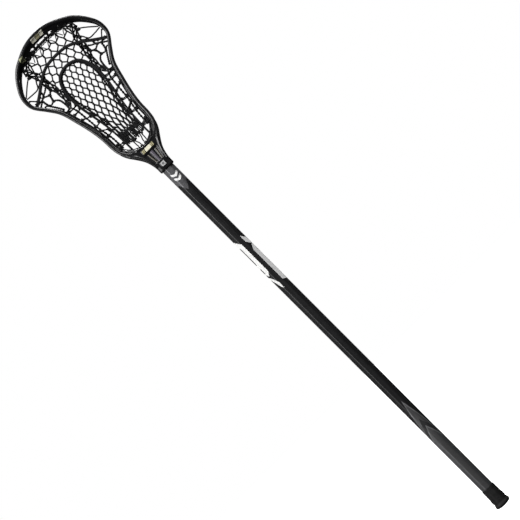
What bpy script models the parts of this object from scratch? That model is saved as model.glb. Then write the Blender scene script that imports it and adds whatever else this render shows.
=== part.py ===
"""Women's lacrosse stick: a moulded head with a strung pocket on an eight-sided hollow shaft.

The stick stands upright, butt down. +Z runs along the shaft from the butt to the scoop,
-Y is the face that the ball is caught on, and +X is the right-hand side seen from that face.
The origin is the centre of the flat end of the butt cap. All sizes below are millimetres.
"""

import math

import bmesh
import bpy
from mathutils import Vector

MM = 0.001
GAP = 0.3  # clearance between pieces that touch on the real stick

# Shaft: an eight-sided tube.
SHAFT_FLATS = 22.2  # across two opposite flats, the standard 7/8 in shaft
SHAFT_WALL = 1.6
SHAFT_CORNER = 2.2  # rounding radius of each long edge
SHAFT_BOTTOM = 4.3
SHAFT_TOP = 822.0
COATING = 0.1  # thickness of the coating, which stops just short of the cap and of the head
COATING_GAP = 0.8

# Butt cap: a rubber sleeve with a flared end.
CAP_LENGTH = 38.0
CAP_FLOOR = SHAFT_BOTTOM - GAP
CAP_FLARE = 14.4  # half of the width of the flared end

# Socket of the head, and the screw that holds the shaft in it.
SOCKET_MOUTH = 780.6
SOCKET_END = SHAFT_TOP + 0.6
SCREW_HEIGHT = 800.0
SCREW_SHANK = 1.9
SCREW_HEAD = 3.6
SCREW_TIP_Y = 6.5
SCREW_SEAT_Y = 13.3
SCREW_FACE_Y = 15.4

# Rim of the head, from the middle of the scoop down the right side to the bottom of the bowl.
# Each station: outer edge x and z, inner edge x and z, y of the front face, y of the rear face.
RIM_STATIONS = [
    (0.0, 1090.0, 0.0, 1069.0, -22.0, 1.0),
    (28.0, 1086.0, 25.0, 1067.5, -21.0, 2.0),
    (57.5, 1072.6, 51.4, 1062.3, -17.5, 4.0),
    (67.5, 1065.2, 60.8, 1057.1, -15.0, 6.0),
    (78.6, 1052.9, 71.2, 1047.7, -13.0, 8.5),
    (90.0, 1033.2, 82.9, 1030.9, -10.0, 12.0),
    (92.3, 1016.5, 85.3, 1016.5, -8.0, 15.0),
    (88.5, 1002.0, 82.0, 1005.7, -7.0, 18.0),
    (75.0, 983.7, 68.8, 989.2, -6.5, 21.0),
    (62.7, 964.3, 53.8, 967.8, -6.5, 24.0),
    (54.8, 937.0, 44.6, 939.5, -7.5, 27.0),
    (48.4, 910.0, 37.6, 912.2, -9.0, 28.5),
    (45.2, 888.0, 34.2, 889.0, -10.5, 28.5),
    (44.4, 867.0, 33.4, 866.0, -12.0, 27.5),
    (41.3, 850.0, 29.5, 856.0, -13.5, 25.5),
    (32.5, 836.5, 21.5, 846.3, -14.5, 23.0),
    (17.5, 827.0, 11.0, 840.2, -15.0, 21.0),
    (0.0, 824.0, 0.0, 836.8, -15.0, 20.0),
]
RAIL_WIDTH = 6.6  # of the front and rear rails, across the wall
RAIL_HEIGHT = 5.5  # of each rail, front to back
RAIL_CHAMFER = 1.4
WEB_HALF = 1.4  # half of the thickness of the web between the rails
SCOOP_BAR = 5.0  # width of the rear rail where the scoop carries the top string
SCOOP_BLEND = 60.0  # distance from the middle over which the bar grows into a rail
SECTION_STEP = 9.0  # spacing of the cross-sections along the rim
SCOOP_STEP = 4.5  # the same where the scoop has its slots
SCOOP_REACH = 27.0

# Openings in the web, as distances along the rim from the middle of the scoop.
SCOOP_SLOTS = [(0.0, 13.5), (18.0, 27.0)]
WINDOWS = [(81.0, 99.0), (108.0, 135.0), (144.0, 171.0), (180.0, 216.0), (225.0, 261.0), (270.0, 297.0)]
STRUTS = [76.5, 103.5, 139.5, 175.5, 220.5, 265.5, 301.5]
STRUT_LEAN = 4.0  # how far each strut leans, one way and then the other

# Throat, from the socket mouth up to where it runs out into the rim:
# z, half width, y of the front, y of the back, corner radius.
THROAT_SECTIONS = [
    (780.6, 13.7, -13.7, 13.7, 6.0),
    (782.5, 14.3, -14.3, 14.3, 6.0),
    (785.0, 14.2, -14.2, 14.3, 6.0),
    (790.5, 14.3, -14.2, 14.8, 6.0),
    (797.0, 15.0, -14.4, 15.6, 6.0),
    (803.6, 16.5, -14.5, 16.0, 6.0),
    (810.2, 18.5, -14.6, 16.5, 6.0),
    (816.7, 21.7, -14.7, 17.3, 6.0),
    (823.3, 25.8, -14.8, 18.2, 6.0),
    (829.8, 30.2, -14.8, 19.0, 6.0),
    (836.4, 34.8, -14.0, 19.5, 6.0),
    (843.0, 38.4, -12.0, 18.5, 6.0),
    (849.5, 40.8, -8.0, 15.5, 5.0),
    (856.0, 41.4, -2.0, 10.0, 3.0),
]

# Pocket: depth of the net behind the face, for each height: the depth in the middle,
# the depth at the side, and the half width at which the side depth is reached.
POCKET_DEPTHS = [
    (1066.0, 4.5, 3.5, 50.0),
    (1045.0, 13.0, 8.0, 66.0),
    (1024.0, 21.0, 12.0, 80.0),
    (1006.0, 27.0, 16.0, 78.0),
    (990.0, 32.0, 19.0, 66.0),
    (972.0, 36.5, 22.0, 53.0),
    (955.0, 40.0, 25.0, 46.0),
    (935.0, 43.0, 28.0, 41.0),
    (915.0, 43.5, 29.5, 36.0),
    (895.0, 42.0, 29.5, 33.0),
    (875.0, 38.0, 28.5, 31.0),
    (850.0, 30.0, 25.5, 26.0),
]
# Half width of the net at each height: straight sides, two wings, then the ball channel.
NET_EDGE = [
    (1063.0, 46.0),
    (1045.0, 45.0),
    (1024.0, 43.0),
    (1006.0, 74.0),
    (990.0, 64.0),
    (972.0, 50.0),
    (955.0, 36.0),
    (940.0, 31.5),
    (915.0, 27.5),
    (895.0, 24.5),
    (875.0, 23.0),
    (850.0, 22.0),
]
NET_HALF_THICKNESS = 0.8
NET_TOP_ARCH = 6.0  # how much lower the corners of the top edge are than its middle
NET_ARCH_END = 1006.0
NET_ROW_STEP = 9.0
NET_COLUMNS = 12

# Strings: radius, and how far in front of the net the centre of each string runs.
SIDEWALL_RADIUS = 1.1
SIDEWALL_LIFT = 2.4
SHOOTING_RADIUS = 1.6
SHOOTING_LIFT = 5.6
CHANNEL_RADIUS = 1.6
CHANNEL_LIFT = 2.8
CORNER_RADIUS = 0.8
THROAT_STRING_RADIUS = 0.7
TOP_STRING_RADIUS = 0.9
TUBE_SPACING = 4.0  # spacing of the points along a string

# Routes of the strings as x and z, right-hand side.
SHOOTING_ROUTE = [(0.0, 1041.8), (20.0, 1040.3), (34.0, 1035.5), (48.0, 1027.0), (64.0, 1015.5), (78.0, 1006.0)]
CHANNEL_ROUTE = [
    (0.0, 1018.8),
    (16.0, 1015.0),
    (26.0, 1005.7),
    (32.0, 989.0),
    (33.0, 972.0),
    (31.0, 950.0),
    (27.5, 930.0),
    (24.0, 910.0),
    (21.5, 888.0),
    (20.3, 866.0),
    (19.7, 850.0),
]
SIDEWALL_ROUTE = [
    (47.5, 1059.0),
    (50.0, 1051.0),
    (47.5, 1039.0),
    (44.5, 1025.0),
    (41.5, 1009.0),
    (39.3, 993.0),
    (39.8, 979.0),
    (45.5, 966.0),
    (44.0, 958.0),
    (36.5, 950.0),
    (41.0, 940.0),
    (33.5, 930.0),
    (36.0, 918.0),
    (29.5, 906.0),
    (31.8, 896.0),
    (27.0, 886.0),
    (30.3, 876.0),
    (25.5, 866.0),
    (27.5, 862.0),
]
CORNER_ROUTE = [(53.5, 1049.0), (66.0, 1040.0), (79.5, 1028.5), (80.5, 1024.5), (74.0, 1023.0), (60.0, 1024.0), (50.5, 1033.0)]
THROAT_STRING_ROUTE = [(3.0, 839.6), (6.4, 848.5), (8.2, 850.6), (9.6, 848.5), (9.0, 842.0)]


def clear_scene():
    """Remove whatever the start-up file holds."""
    for old in list(bpy.data.objects):
        bpy.data.objects.remove(old)


def material(name, colour, roughness, metallic=0.0):
    """A plain Principled material."""
    made = bpy.data.materials.new(name)
    made.use_nodes = True
    shader = made.node_tree.nodes["Principled BSDF"]
    shader.inputs["Base Color"].default_value = (*colour, 1.0)
    shader.inputs["Roughness"].default_value = roughness
    shader.inputs["Metallic"].default_value = metallic
    made.diffuse_color = (*colour, 1.0)
    return made


def add_mesh(name, mesh_builder, surface=None):
    """Turn a bmesh in millimetres into an object in metres, with its faces pointing out."""
    bmesh.ops.recalc_face_normals(mesh_builder, faces=mesh_builder.faces)
    bmesh.ops.scale(mesh_builder, vec=(MM, MM, MM), verts=mesh_builder.verts)
    mesh = bpy.data.meshes.new(name)
    mesh_builder.to_mesh(mesh)
    mesh_builder.free()
    mesh.shade_smooth()
    mesh.set_sharp_from_angle(angle=math.radians(35.0))
    made = bpy.data.objects.new(name, mesh)
    bpy.context.scene.collection.objects.link(made)
    if surface is not None:
        mesh.materials.append(surface)
    return made


def loft(loops, closed_ring=False):
    """A bmesh skinned over loops of points that all have the same number of points."""
    made = bmesh.new()
    rings = [[made.verts.new(point) for point in loop] for loop in loops]
    pairs = list(zip(rings, rings[1:]))
    if closed_ring:
        pairs.append((rings[-1], rings[0]))
    count = len(rings[0])
    for ring, following in pairs:
        for i in range(count):
            j = (i + 1) % count
            made.faces.new((ring[i], ring[j], following[j], following[i]))
    if not closed_ring:
        made.faces.new(rings[0])
        made.faces.new(rings[-1])
    return made


def boolean(target, tool, operation):
    """Join a hidden helper object to a piece, or cut the piece with it."""
    tool.hide_render = True
    tool.display_type = "WIRE"
    modifier = target.modifiers.new(tool.name, "BOOLEAN")
    modifier.operation = operation
    modifier.solver = "EXACT"
    modifier.object = tool


def smooth_curve(points, parameter, closed=False):
    """The point at a parameter, counted in points, on a Catmull-Rom curve through the points."""
    count = len(points)
    start = int(math.floor(parameter))
    if not closed:
        start = min(max(start, 0), count - 2)
    part = parameter - start
    corners = []
    for offset in (-1, 0, 1, 2):
        index = start + offset
        index = index % count if closed else min(max(index, 0), count - 1)
        corners.append(points[index])
    blended = []
    for before, first, second, after in zip(*corners):
        linear = second - before
        square = 2.0 * before - 5.0 * first + 4.0 * second - after
        cube = 3.0 * (first - second) + after - before
        blended.append(0.5 * (2.0 * first + part * (linear + part * (square + part * cube))))
    return blended


def even_points(points, spacing):
    """Points at an even spacing along the smooth curve through the given points."""
    dense = []
    per_span = 24
    for step in range((len(points) - 1) * per_span + 1):
        dense.append(Vector(smooth_curve(points, step / per_span)))
    travelled = [0.0]
    for previous, point in zip(dense, dense[1:]):
        travelled.append(travelled[-1] + (point - previous).length)
    count = max(2, round(travelled[-1] / spacing))
    placed = []
    index = 0
    for step in range(count + 1):
        wanted = travelled[-1] * step / count
        while index < len(dense) - 2 and travelled[index + 1] < wanted:
            index += 1
        span = travelled[index + 1] - travelled[index]
        part = (wanted - travelled[index]) / span
        placed.append(dense[index].lerp(dense[index + 1], part))
    return placed


def from_table(table, height):
    """Values at a height, read smoothly from rows of (height, value, ...) that run downwards."""
    for index, (upper, lower) in enumerate(zip(table, table[1:])):
        if height >= lower[0] or index == len(table) - 2:
            part = (upper[0] - height) / (upper[0] - lower[0])
            part = min(max(part, 0.0), 1.0)
            return smooth_curve(table, index + part)[1:]


def rounded_outline(corner_centres, radius, steps, first_angle):
    """A closed outline, listed anticlockwise, with an equal share of a full turn about each centre."""
    outline = []
    turn = math.tau / len(corner_centres)
    for index, (x, y) in enumerate(corner_centres):
        for step in range(steps + 1):
            angle = first_angle + turn * (index + step / steps)
            outline.append((x + radius * math.cos(angle), y + radius * math.sin(angle)))
    return outline


def octagon(half_flats, corner, steps=2):
    """Outline of an octagon with a flat on each axis and rounded corners."""
    reach = (half_flats - corner) / math.cos(math.pi / 8.0)
    centres = []
    for index in range(8):
        angle = math.pi / 8.0 + index * math.pi / 4.0
        centres.append((reach * math.cos(angle), reach * math.sin(angle)))
    return rounded_outline(centres, corner, steps, 0.0)


def rounded_box(half_width, front, back, corner, steps=3):
    """Outline of a rectangle with rounded corners."""
    x = half_width - corner
    centres = [(x, front + corner), (x, back - corner), (-x, back - corner), (-x, front + corner)]
    return rounded_outline(centres, corner, steps, -math.pi / 2.0)


def at_height(outline, z):
    """Lift a flat outline to a height."""
    return [(x, y, z) for x, y in outline]


def turned_along_y(stations, x, z, sides=16):
    """A round solid on an axis along Y; each station is a y and a radius."""
    loops = []
    for y, radius in stations:
        loop = []
        for side in range(sides):
            angle = math.tau * side / sides
            loop.append((x + radius * math.cos(angle), y, z + radius * math.sin(angle)))
        loops.append(loop)
    return loft(loops)


# ---------------------------------------------------------------- head


def rim_ring():
    """The stations of the whole rim: down the right side and up the mirrored left side."""
    left = [(-xo, zo, -xi, zi, front, rear) for xo, zo, xi, zi, front, rear in RIM_STATIONS[1:-1]]
    return RIM_STATIONS + left[::-1]


def rim_distances():
    """Distance along the outer edge of the rim, tabulated against the station parameter."""
    per_span = 16
    last = len(RIM_STATIONS) - 1
    table = [(0.0, 0.0)]
    ring = rim_ring()
    previous = Vector(smooth_curve(ring, 0.0, closed=True)[:2])
    for step in range(1, last * per_span + 1):
        parameter = step / per_span
        point = Vector(smooth_curve(ring, parameter, closed=True)[:2])
        table.append((table[-1][0] + (point - previous).length, parameter))
        previous = point
    return table


def rim_parameter(distances, distance):
    """Station parameter at a signed distance from the middle of the scoop, right side positive."""
    wanted = min(abs(distance), distances[-1][0])
    for (low, start), (high, end) in zip(distances, distances[1:]):
        if wanted <= high:
            parameter = start + (end - start) * (wanted - low) / (high - low)
            return math.copysign(parameter, distance)
    return math.copysign(distances[-1][1], distance)


def strut_lean(distance):
    """How far the web is sheared along the rim, so that the struts lean in turn both ways."""
    place = abs(distance)
    if place <= STRUTS[0]:
        return 0.0
    for index, (low, high) in enumerate(zip(STRUTS, STRUTS[1:])):
        if place <= high:
            part = (place - low) / (high - low)
            start = STRUT_LEAN if index % 2 == 0 else -STRUT_LEAN
            lean = start * (1.0 - 2.0 * part)
            return math.copysign(lean, lean * distance)
    return 0.0


def wall_profile(depth, front, rear, rear_width):
    """Closed outline of the wall as (inward, y, lean share): two rails joined by a thin web."""
    front_middle = RAIL_WIDTH / 2.0
    rear_middle = depth - rear_width / 2.0
    front_root = front + RAIL_HEIGHT
    rear_root = rear - RAIL_HEIGHT
    web_middle = (front_middle + rear_middle) / 2.0
    web_height = (front_root + rear_root) / 2.0
    cut = RAIL_CHAMFER
    return [
        (cut, front, 0),
        (RAIL_WIDTH - cut, front, 0),
        (RAIL_WIDTH, front + cut, 0),
        (RAIL_WIDTH, front_root - cut, 0),
        (front_middle + WEB_HALF, front_root, -1),
        (web_middle + WEB_HALF, web_height, 0),
        (rear_middle + WEB_HALF, rear_root, 1),
        (depth, rear_root + cut, 0),
        (depth, rear - cut, 0),
        (depth - cut, rear, 0),
        (depth - rear_width + cut, rear, 0),
        (depth - rear_width, rear - cut, 0),
        (depth - rear_width, rear_root + cut, 0),
        (rear_middle - WEB_HALF, rear_root, 1),
        (web_middle - WEB_HALF, web_height, 0),
        (front_middle - WEB_HALF, front_root, -1),
        (0.0, front_root - cut, 0),
        (0.0, front + cut, 0),
    ]


# Indices in the profile of the web's points: on its inner skin from front to rear, and on its
# outer skin from front to rear.
INNER_SKIN = (4, 5, 6)
OUTER_SKIN = (15, 14, 13)


def rim_sections():
    """Distances of the cross-sections round the whole rim, and the points of each one."""
    distances = rim_distances()
    half = distances[-1][0]
    places = []
    place = 0.0
    while place < half - SECTION_STEP / 2.0:
        places.append(place)
        place += SCOOP_STEP if place < SCOOP_REACH else SECTION_STEP
    places += [half] + [-place for place in places[:0:-1]]
    ring = rim_ring()
    loops = []
    for place in places:
        share = min(abs(place) / SCOOP_BLEND, 1.0)
        rear_width = SCOOP_BAR + (RAIL_WIDTH - SCOOP_BAR) * share
        lean = strut_lean(place)
        middle = smooth_curve(ring, rim_parameter(distances, place), closed=True)
        depth = (Vector(middle[2:4]) - Vector(middle[0:2])).length
        loop = []
        for inward, y, leaning in wall_profile(depth, middle[4], middle[5], rear_width):
            parameter = rim_parameter(distances, place + lean * leaning)
            x_out, z_out, x_in, z_in = smooth_curve(ring, parameter, closed=True)[:4]
            direction = Vector((x_in - x_out, z_in - z_out)).normalized()
            loop.append((x_out + direction.x * inward, y, z_out + direction.y * inward))
        loops.append(loop)
    return places, loops


def is_open(place_a, place_b, rear_half_only):
    """Whether the web is open between two neighbouring cross-sections."""
    middle = abs(place_a + place_b) / 2.0
    openings = SCOOP_SLOTS if rear_half_only else WINDOWS
    return any(low < middle < high for low, high in openings)


def rim_mesh():
    """The rim as one closed skin with its slots and windows left open."""
    places, loops = rim_sections()
    made = bmesh.new()
    rings = [[made.verts.new(point) for point in loop] for loop in loops]
    count = len(loops[0])
    total = len(rings)
    # For each gap between two sections: the first web point from which it is open, or None.
    open_from = []
    for index in range(total):
        pair = (places[index], places[(index + 1) % total])
        if is_open(*pair, rear_half_only=True):
            open_from.append(1)
        elif is_open(*pair, rear_half_only=False):
            open_from.append(0)
        else:
            open_from.append(None)
    inner_cells = INNER_SKIN[:2]
    outer_cells = (OUTER_SKIN[1], OUTER_SKIN[2])
    for index in range(total):
        ring = rings[index]
        following = rings[(index + 1) % total]
        first_open = open_from[index]
        for i in range(count):
            web_cell = None
            if i in inner_cells:
                web_cell = inner_cells.index(i)
            elif i in outer_cells:
                web_cell = outer_cells.index(i)
            if first_open is not None and web_cell is not None and web_cell >= first_open:
                continue
            j = (i + 1) % count
            made.faces.new((ring[i], ring[j], following[j], following[i]))
        if first_open is None:
            continue
        for skin_index in (first_open, 2):
            inner = INNER_SKIN[skin_index]
            outer = OUTER_SKIN[skin_index]
            made.faces.new((ring[inner], following[inner], following[outer], ring[outer]))
        for end, neighbour in ((ring, open_from[index - 1]), (following, open_from[(index + 1) % total])):
            if neighbour is not None:
                continue
            for cell in range(first_open, 2):
                made.faces.new(
                    (
                        end[INNER_SKIN[cell]],
                        end[INNER_SKIN[cell + 1]],
                        end[OUTER_SKIN[cell + 1]],
                        end[OUTER_SKIN[cell]],
                    )
                )
    return made


def throat_mesh():
    """The solid throat and socket, before the bowl and the bore are cut."""
    return loft([at_height(rounded_box(*section[1:]), section[0]) for section in THROAT_SECTIONS])


def bowl_cutter():
    """A prism through the bowl, whose lower edge runs inside the wall of the rim."""
    ring = rim_ring()
    last = len(RIM_STATIONS) - 1
    reach = 4.5
    inward = 0.66  # share of the wall that stays on the throat
    outline = []
    steps = 24
    for step in range(steps + 1):
        parameter = last - reach + 2.0 * reach * step / steps
        x_out, z_out, x_in, z_in = smooth_curve(ring, parameter, closed=True)[:4]
        outline.append((x_out + (x_in - x_out) * inward, z_out + (z_in - z_out) * inward))
    front, back = -40.0, 45.0
    return loft([[(x, y, z) for x, z in outline] for y in (front, back)])


def make_head(surface):
    """Rim and throat in one moulding, with the socket's bore and the screw's hole."""
    head = add_mesh("head_frame", rim_mesh(), surface)
    throat = add_mesh("throat_block", throat_mesh())
    boolean(throat, add_mesh("bowl_cutter", bowl_cutter()), "DIFFERENCE")
    boolean(head, throat, "UNION")
    bore = octagon(SHAFT_FLATS / 2.0 + GAP, SHAFT_CORNER + GAP)
    bore_mesh = loft([at_height(bore, SOCKET_MOUTH - 5.0), at_height(bore, SOCKET_END)])
    boolean(head, add_mesh("socket_cutter", bore_mesh), "DIFFERENCE")
    seat = SCREW_SEAT_Y - GAP
    hole = [(0.0, SCREW_SHANK + GAP), (seat, SCREW_SHANK + GAP), (seat, SCREW_HEAD + GAP), (25.0, SCREW_HEAD + GAP)]
    boolean(head, add_mesh("head_screw_cutter", turned_along_y(hole, 0.0, SCREW_HEIGHT)), "DIFFERENCE")
    return head


def make_screw(surface):
    """Button-headed screw, driven in from the back of the throat."""
    stations = [
        (SCREW_TIP_Y, 0.6),
        (SCREW_TIP_Y + 2.0, SCREW_SHANK),
        (SCREW_SEAT_Y, SCREW_SHANK),
        (SCREW_SEAT_Y, SCREW_HEAD),
        (SCREW_FACE_Y - 0.8, SCREW_HEAD),
        (SCREW_FACE_Y, SCREW_HEAD - 1.0),
        (SCREW_FACE_Y, 1.5),
        (SCREW_FACE_Y - 1.2, 1.5),
    ]
    return add_mesh("head_screw", turned_along_y(stations, 0.0, SCREW_HEIGHT), surface)


# ---------------------------------------------------------------- shaft and cap


def shaft_mesh():
    """The hollow tube, open at both ends, and thicker by its coating between the cap and the head."""
    coated = octagon(SHAFT_FLATS / 2.0, SHAFT_CORNER)
    bare = octagon(SHAFT_FLATS / 2.0 - COATING, SHAFT_CORNER)
    inner = octagon(SHAFT_FLATS / 2.0 - SHAFT_WALL, SHAFT_CORNER - SHAFT_WALL / 2.0)
    coating_bottom = CAP_LENGTH + COATING_GAP
    coating_top = SOCKET_MOUTH - COATING_GAP
    stations = [
        (bare, SHAFT_BOTTOM),
        (bare, coating_bottom),
        (coated, coating_bottom),
        (coated, coating_top),
        (bare, coating_top),
        (bare, SHAFT_TOP),
        (inner, SHAFT_TOP),
        (inner, SHAFT_BOTTOM),
    ]
    return loft([at_height(outline, z) for outline, z in stations], closed_ring=True)


def make_shaft(surface):
    """Hollow eight-sided shaft with the hole for the head's screw."""
    shaft = add_mesh("shaft", shaft_mesh(), surface)
    hole = [(0.0, SCREW_SHANK + GAP), (20.0, SCREW_SHANK + GAP)]
    boolean(shaft, add_mesh("shaft_screw_cutter", turned_along_y(hole, 0.0, SCREW_HEIGHT)), "DIFFERENCE")
    return shaft


def make_cap(surface):
    """Rubber butt cap: a flared end, a sleeve over the shaft and a closed floor."""
    bore = SHAFT_FLATS / 2.0 + GAP
    sleeve = bore + 0.9
    # Outside, upwards: z, half of the width, corner radius; the end is round and the sleeve is not.
    outside = [
        (0.0, 9.5, 8.5),
        (0.6, 11.8, 10.8),
        (1.8, 13.5, 12.5),
        (3.6, CAP_FLARE, CAP_FLARE - 1.0),
        (5.6, CAP_FLARE, CAP_FLARE - 1.0),
        (7.4, 13.6, 11.5),
        (9.0, 12.9, 8.0),
        (14.0, 12.7, 5.0),
        (CAP_LENGTH - 1.0, sleeve, 3.0),
        (CAP_LENGTH, sleeve - 0.3, 2.8),
    ]
    loops = [at_height(octagon(half, corner), z) for z, half, corner in outside]
    for z in (CAP_LENGTH, CAP_FLOOR):
        loops.append(at_height(octagon(bore, SHAFT_CORNER + GAP), z))
    return add_mesh("butt_cap", loft(loops), surface)


# ---------------------------------------------------------------- pocket


def pocket_y(x, z):
    """Depth of the net at a place in the face: deepest in the middle, less towards the sides."""
    middle, side, reach = from_table(POCKET_DEPTHS, z)
    share = min(abs(x) / reach, 1.0)
    return middle - (middle - side) * share * share


def net_half_width(z):
    """Half width of the net, straight between the listed heights so that the wings keep corners."""
    for (high, wide), (low, narrow) in zip(NET_EDGE, NET_EDGE[1:]):
        if z >= low:
            return wide + (narrow - wide) * (high - z) / (high - low)
    return NET_EDGE[-1][1]


def make_net(surface):
    """The whole knitted net as one thin dished sheet."""
    top, bottom = NET_EDGE[0][0], NET_EDGE[-1][0]
    rows = round((top - bottom) / NET_ROW_STEP)
    made = bmesh.new()
    skins = {}
    for row in range(rows + 1):
        height = top + (bottom - top) * row / rows
        arch = NET_TOP_ARCH * max(height - NET_ARCH_END, 0.0) / (top - NET_ARCH_END)
        for column in range(NET_COLUMNS + 1):
            across = 2.0 * column / NET_COLUMNS - 1.0
            x = net_half_width(height) * across
            z = height - arch * across * across
            y = pocket_y(x, z)
            for skin, side in enumerate((-1.0, 1.0)):
                skins[skin, row, column] = made.verts.new((x, y + side * NET_HALF_THICKNESS, z))
    for row in range(rows):
        for column in range(NET_COLUMNS):
            for skin in (0, 1):
                corners = [(row, column), (row, column + 1), (row + 1, column + 1), (row + 1, column)]
                made.faces.new([skins[(skin, *corner)] for corner in corners])
    rim = [(0, column) for column in range(NET_COLUMNS)]
    rim += [(row, NET_COLUMNS) for row in range(rows)]
    rim += [(rows, column) for column in range(NET_COLUMNS, 0, -1)]
    rim += [(row, 0) for row in range(rows, 0, -1)]
    for here, there in zip(rim, rim[1:] + rim[:1]):
        made.faces.new((skins[(0, *here)], skins[(0, *there)], skins[(1, *there)], skins[(1, *here)]))
    return add_mesh("pocket_mesh", made, surface)


def string(name, points, radius, surface):
    """A round string along a smooth route, with closed ends."""
    curve = bpy.data.curves.new(name, "CURVE")
    curve.dimensions = "3D"
    curve.bevel_depth = radius * MM
    curve.bevel_resolution = 2
    curve.use_fill_caps = True
    spline = curve.splines.new("POLY")
    spline.points.add(len(points) - 1)
    for target, point in zip(spline.points, points):
        target.co = (point[0] * MM, point[1] * MM, point[2] * MM, 1.0)
    spline.use_smooth = True
    curve.materials.append(surface)
    made = bpy.data.objects.new(name, curve)
    bpy.context.scene.collection.objects.link(made)
    return made


def laid_on_net(route, lift, spacing=TUBE_SPACING):
    """A route in the face, carried back to the net and lifted off its front."""
    return [(x, pocket_y(x, z) - lift, z) for x, z in even_points(route, spacing)]


def both_sides(route):
    """A route that starts in the middle, continued over the mirrored side."""
    return [(-x, z) for x, z in route[:0:-1]] + route


def mirrored(route, side):
    """The route on the right-hand side for side 1, and on the left-hand side for side -1."""
    return [(side * x, z) for x, z in route]


def top_string_points():
    """The top string, just under the scoop's bar, where it ties the net to the bar."""
    below_bar = 2.0
    reach = 1.75
    ring = rim_ring()
    steps = 20
    points = []
    for step in range(steps + 1):
        parameter = reach * (2.0 * step / steps - 1.0)
        _, _, x, z, _, rear = smooth_curve(ring, parameter, closed=True)
        points.append((x, rear - RAIL_HEIGHT / 2.0, z - below_bar))
    return points


def make_strings(cord, lace):
    """Every string of the pocket, each a piece of its own."""
    string("top_string", top_string_points(), TOP_STRING_RADIUS, cord)
    string("shooting_string", laid_on_net(both_sides(SHOOTING_ROUTE), SHOOTING_LIFT), SHOOTING_RADIUS, lace)
    string("channel_string", laid_on_net(both_sides(CHANNEL_ROUTE), CHANNEL_LIFT, 9.0), CHANNEL_RADIUS, lace)
    for side_name, side in (("left", -1.0), ("right", 1.0)):
        sidewall = laid_on_net(mirrored(SIDEWALL_ROUTE, side), SIDEWALL_LIFT)
        string("sidewall_string_" + side_name, sidewall, SIDEWALL_RADIUS, cord)
        corner = laid_on_net(mirrored(CORNER_ROUTE, side), 0.0)
        string("corner_string_" + side_name, corner, CORNER_RADIUS, cord)
        throat = laid_on_net(mirrored(THROAT_STRING_ROUTE, side), 2.2, 2.0)
        string("throat_string_" + side_name, throat, THROAT_STRING_RADIUS, cord)


def main():
    """Build the whole stick."""
    clear_scene()
    moulding = material("head_moulding", (0.012, 0.012, 0.013), 0.35)
    tube = material("shaft_coating", (0.016, 0.016, 0.017), 0.38)
    rubber = material("butt_rubber", (0.014, 0.014, 0.014), 0.75)
    steel = material("screw_steel", (0.05, 0.05, 0.052), 0.35, 1.0)
    netting = material("net_yarn", (0.010, 0.010, 0.011), 0.8)
    cord = material("string_cord", (0.011, 0.011, 0.012), 0.75)
    lace = material("shooting_lace", (0.013, 0.013, 0.014), 0.8)
    make_head(moulding)
    make_screw(steel)
    make_shaft(tube)
    make_cap(rubber)
    make_net(netting)
    make_strings(cord, lace)


main()
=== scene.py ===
"""Looks of the women's lacrosse stick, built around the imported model.

Pieces are modelled in millimetres in the model's own frame: +Z runs along the shaft from the butt to
the scoop, -Y is the face that the ball is caught on, and +X is the right-hand side seen from there.
"""

import math
import random

import bmesh
import bpy
import numpy as np
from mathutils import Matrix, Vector
from mathutils.bvhtree import BVHTree


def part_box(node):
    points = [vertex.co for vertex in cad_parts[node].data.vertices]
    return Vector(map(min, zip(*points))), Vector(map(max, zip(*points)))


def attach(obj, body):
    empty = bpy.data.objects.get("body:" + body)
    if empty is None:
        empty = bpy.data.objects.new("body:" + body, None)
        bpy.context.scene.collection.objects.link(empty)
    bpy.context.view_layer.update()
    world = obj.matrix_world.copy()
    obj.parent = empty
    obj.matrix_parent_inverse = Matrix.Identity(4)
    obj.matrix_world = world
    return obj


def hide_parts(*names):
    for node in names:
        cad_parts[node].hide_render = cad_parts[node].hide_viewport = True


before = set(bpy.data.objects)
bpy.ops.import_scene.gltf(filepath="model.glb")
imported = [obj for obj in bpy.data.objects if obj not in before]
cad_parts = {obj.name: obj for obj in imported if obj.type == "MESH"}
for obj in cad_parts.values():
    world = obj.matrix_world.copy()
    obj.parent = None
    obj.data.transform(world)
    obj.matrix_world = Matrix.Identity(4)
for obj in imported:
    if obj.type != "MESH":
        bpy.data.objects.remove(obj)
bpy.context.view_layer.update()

MM = 0.001
GAP = 0.3  # clearance between pieces that touch on the real stick
BODY = "stick"
CAP_BODY = "butt_cap"

# ---------------------------------------------------------------- sizes

# Heights and the shaft's width, from the frame.
SHAFT_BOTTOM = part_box("shaft")[0].z / MM
SHAFT_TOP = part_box("shaft")[1].z / MM
CAP_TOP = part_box("butt_cap")[1].z / MM
SOCKET_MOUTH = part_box("head_frame")[0].z / MM
SHAFT_FLATS = (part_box("shaft")[1].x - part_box("shaft")[0].x) / MM
SCREW_HEIGHT = (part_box("head_screw")[0].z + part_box("head_screw")[1].z) / 2.0 / MM

# Shaft.
SHAFT_WALL = 1.6
SHAFT_CORNER = 2.2  # radius of the rounding between two flats
COATING = 0.1  # how far the coated length is proud of the bare ends
COATING_GAP = 0.8  # bare length beside the cap and beside the head
FILM_STEP = 0.7  # spacing of a printed film's points round the shaft
RIDGE_PITCH = 2.6  # of the fine ridges of the grip print

# Screw and socket: radii, and places along Y.
SOCKET_END = SHAFT_TOP + 0.6
SCREW_SHANK = 1.9
SCREW_HEAD = 3.6
SCREW_TIP_Y = 6.5
SCREW_SEAT_Y = 13.3
SCREW_FACE_Y = 15.4

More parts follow.
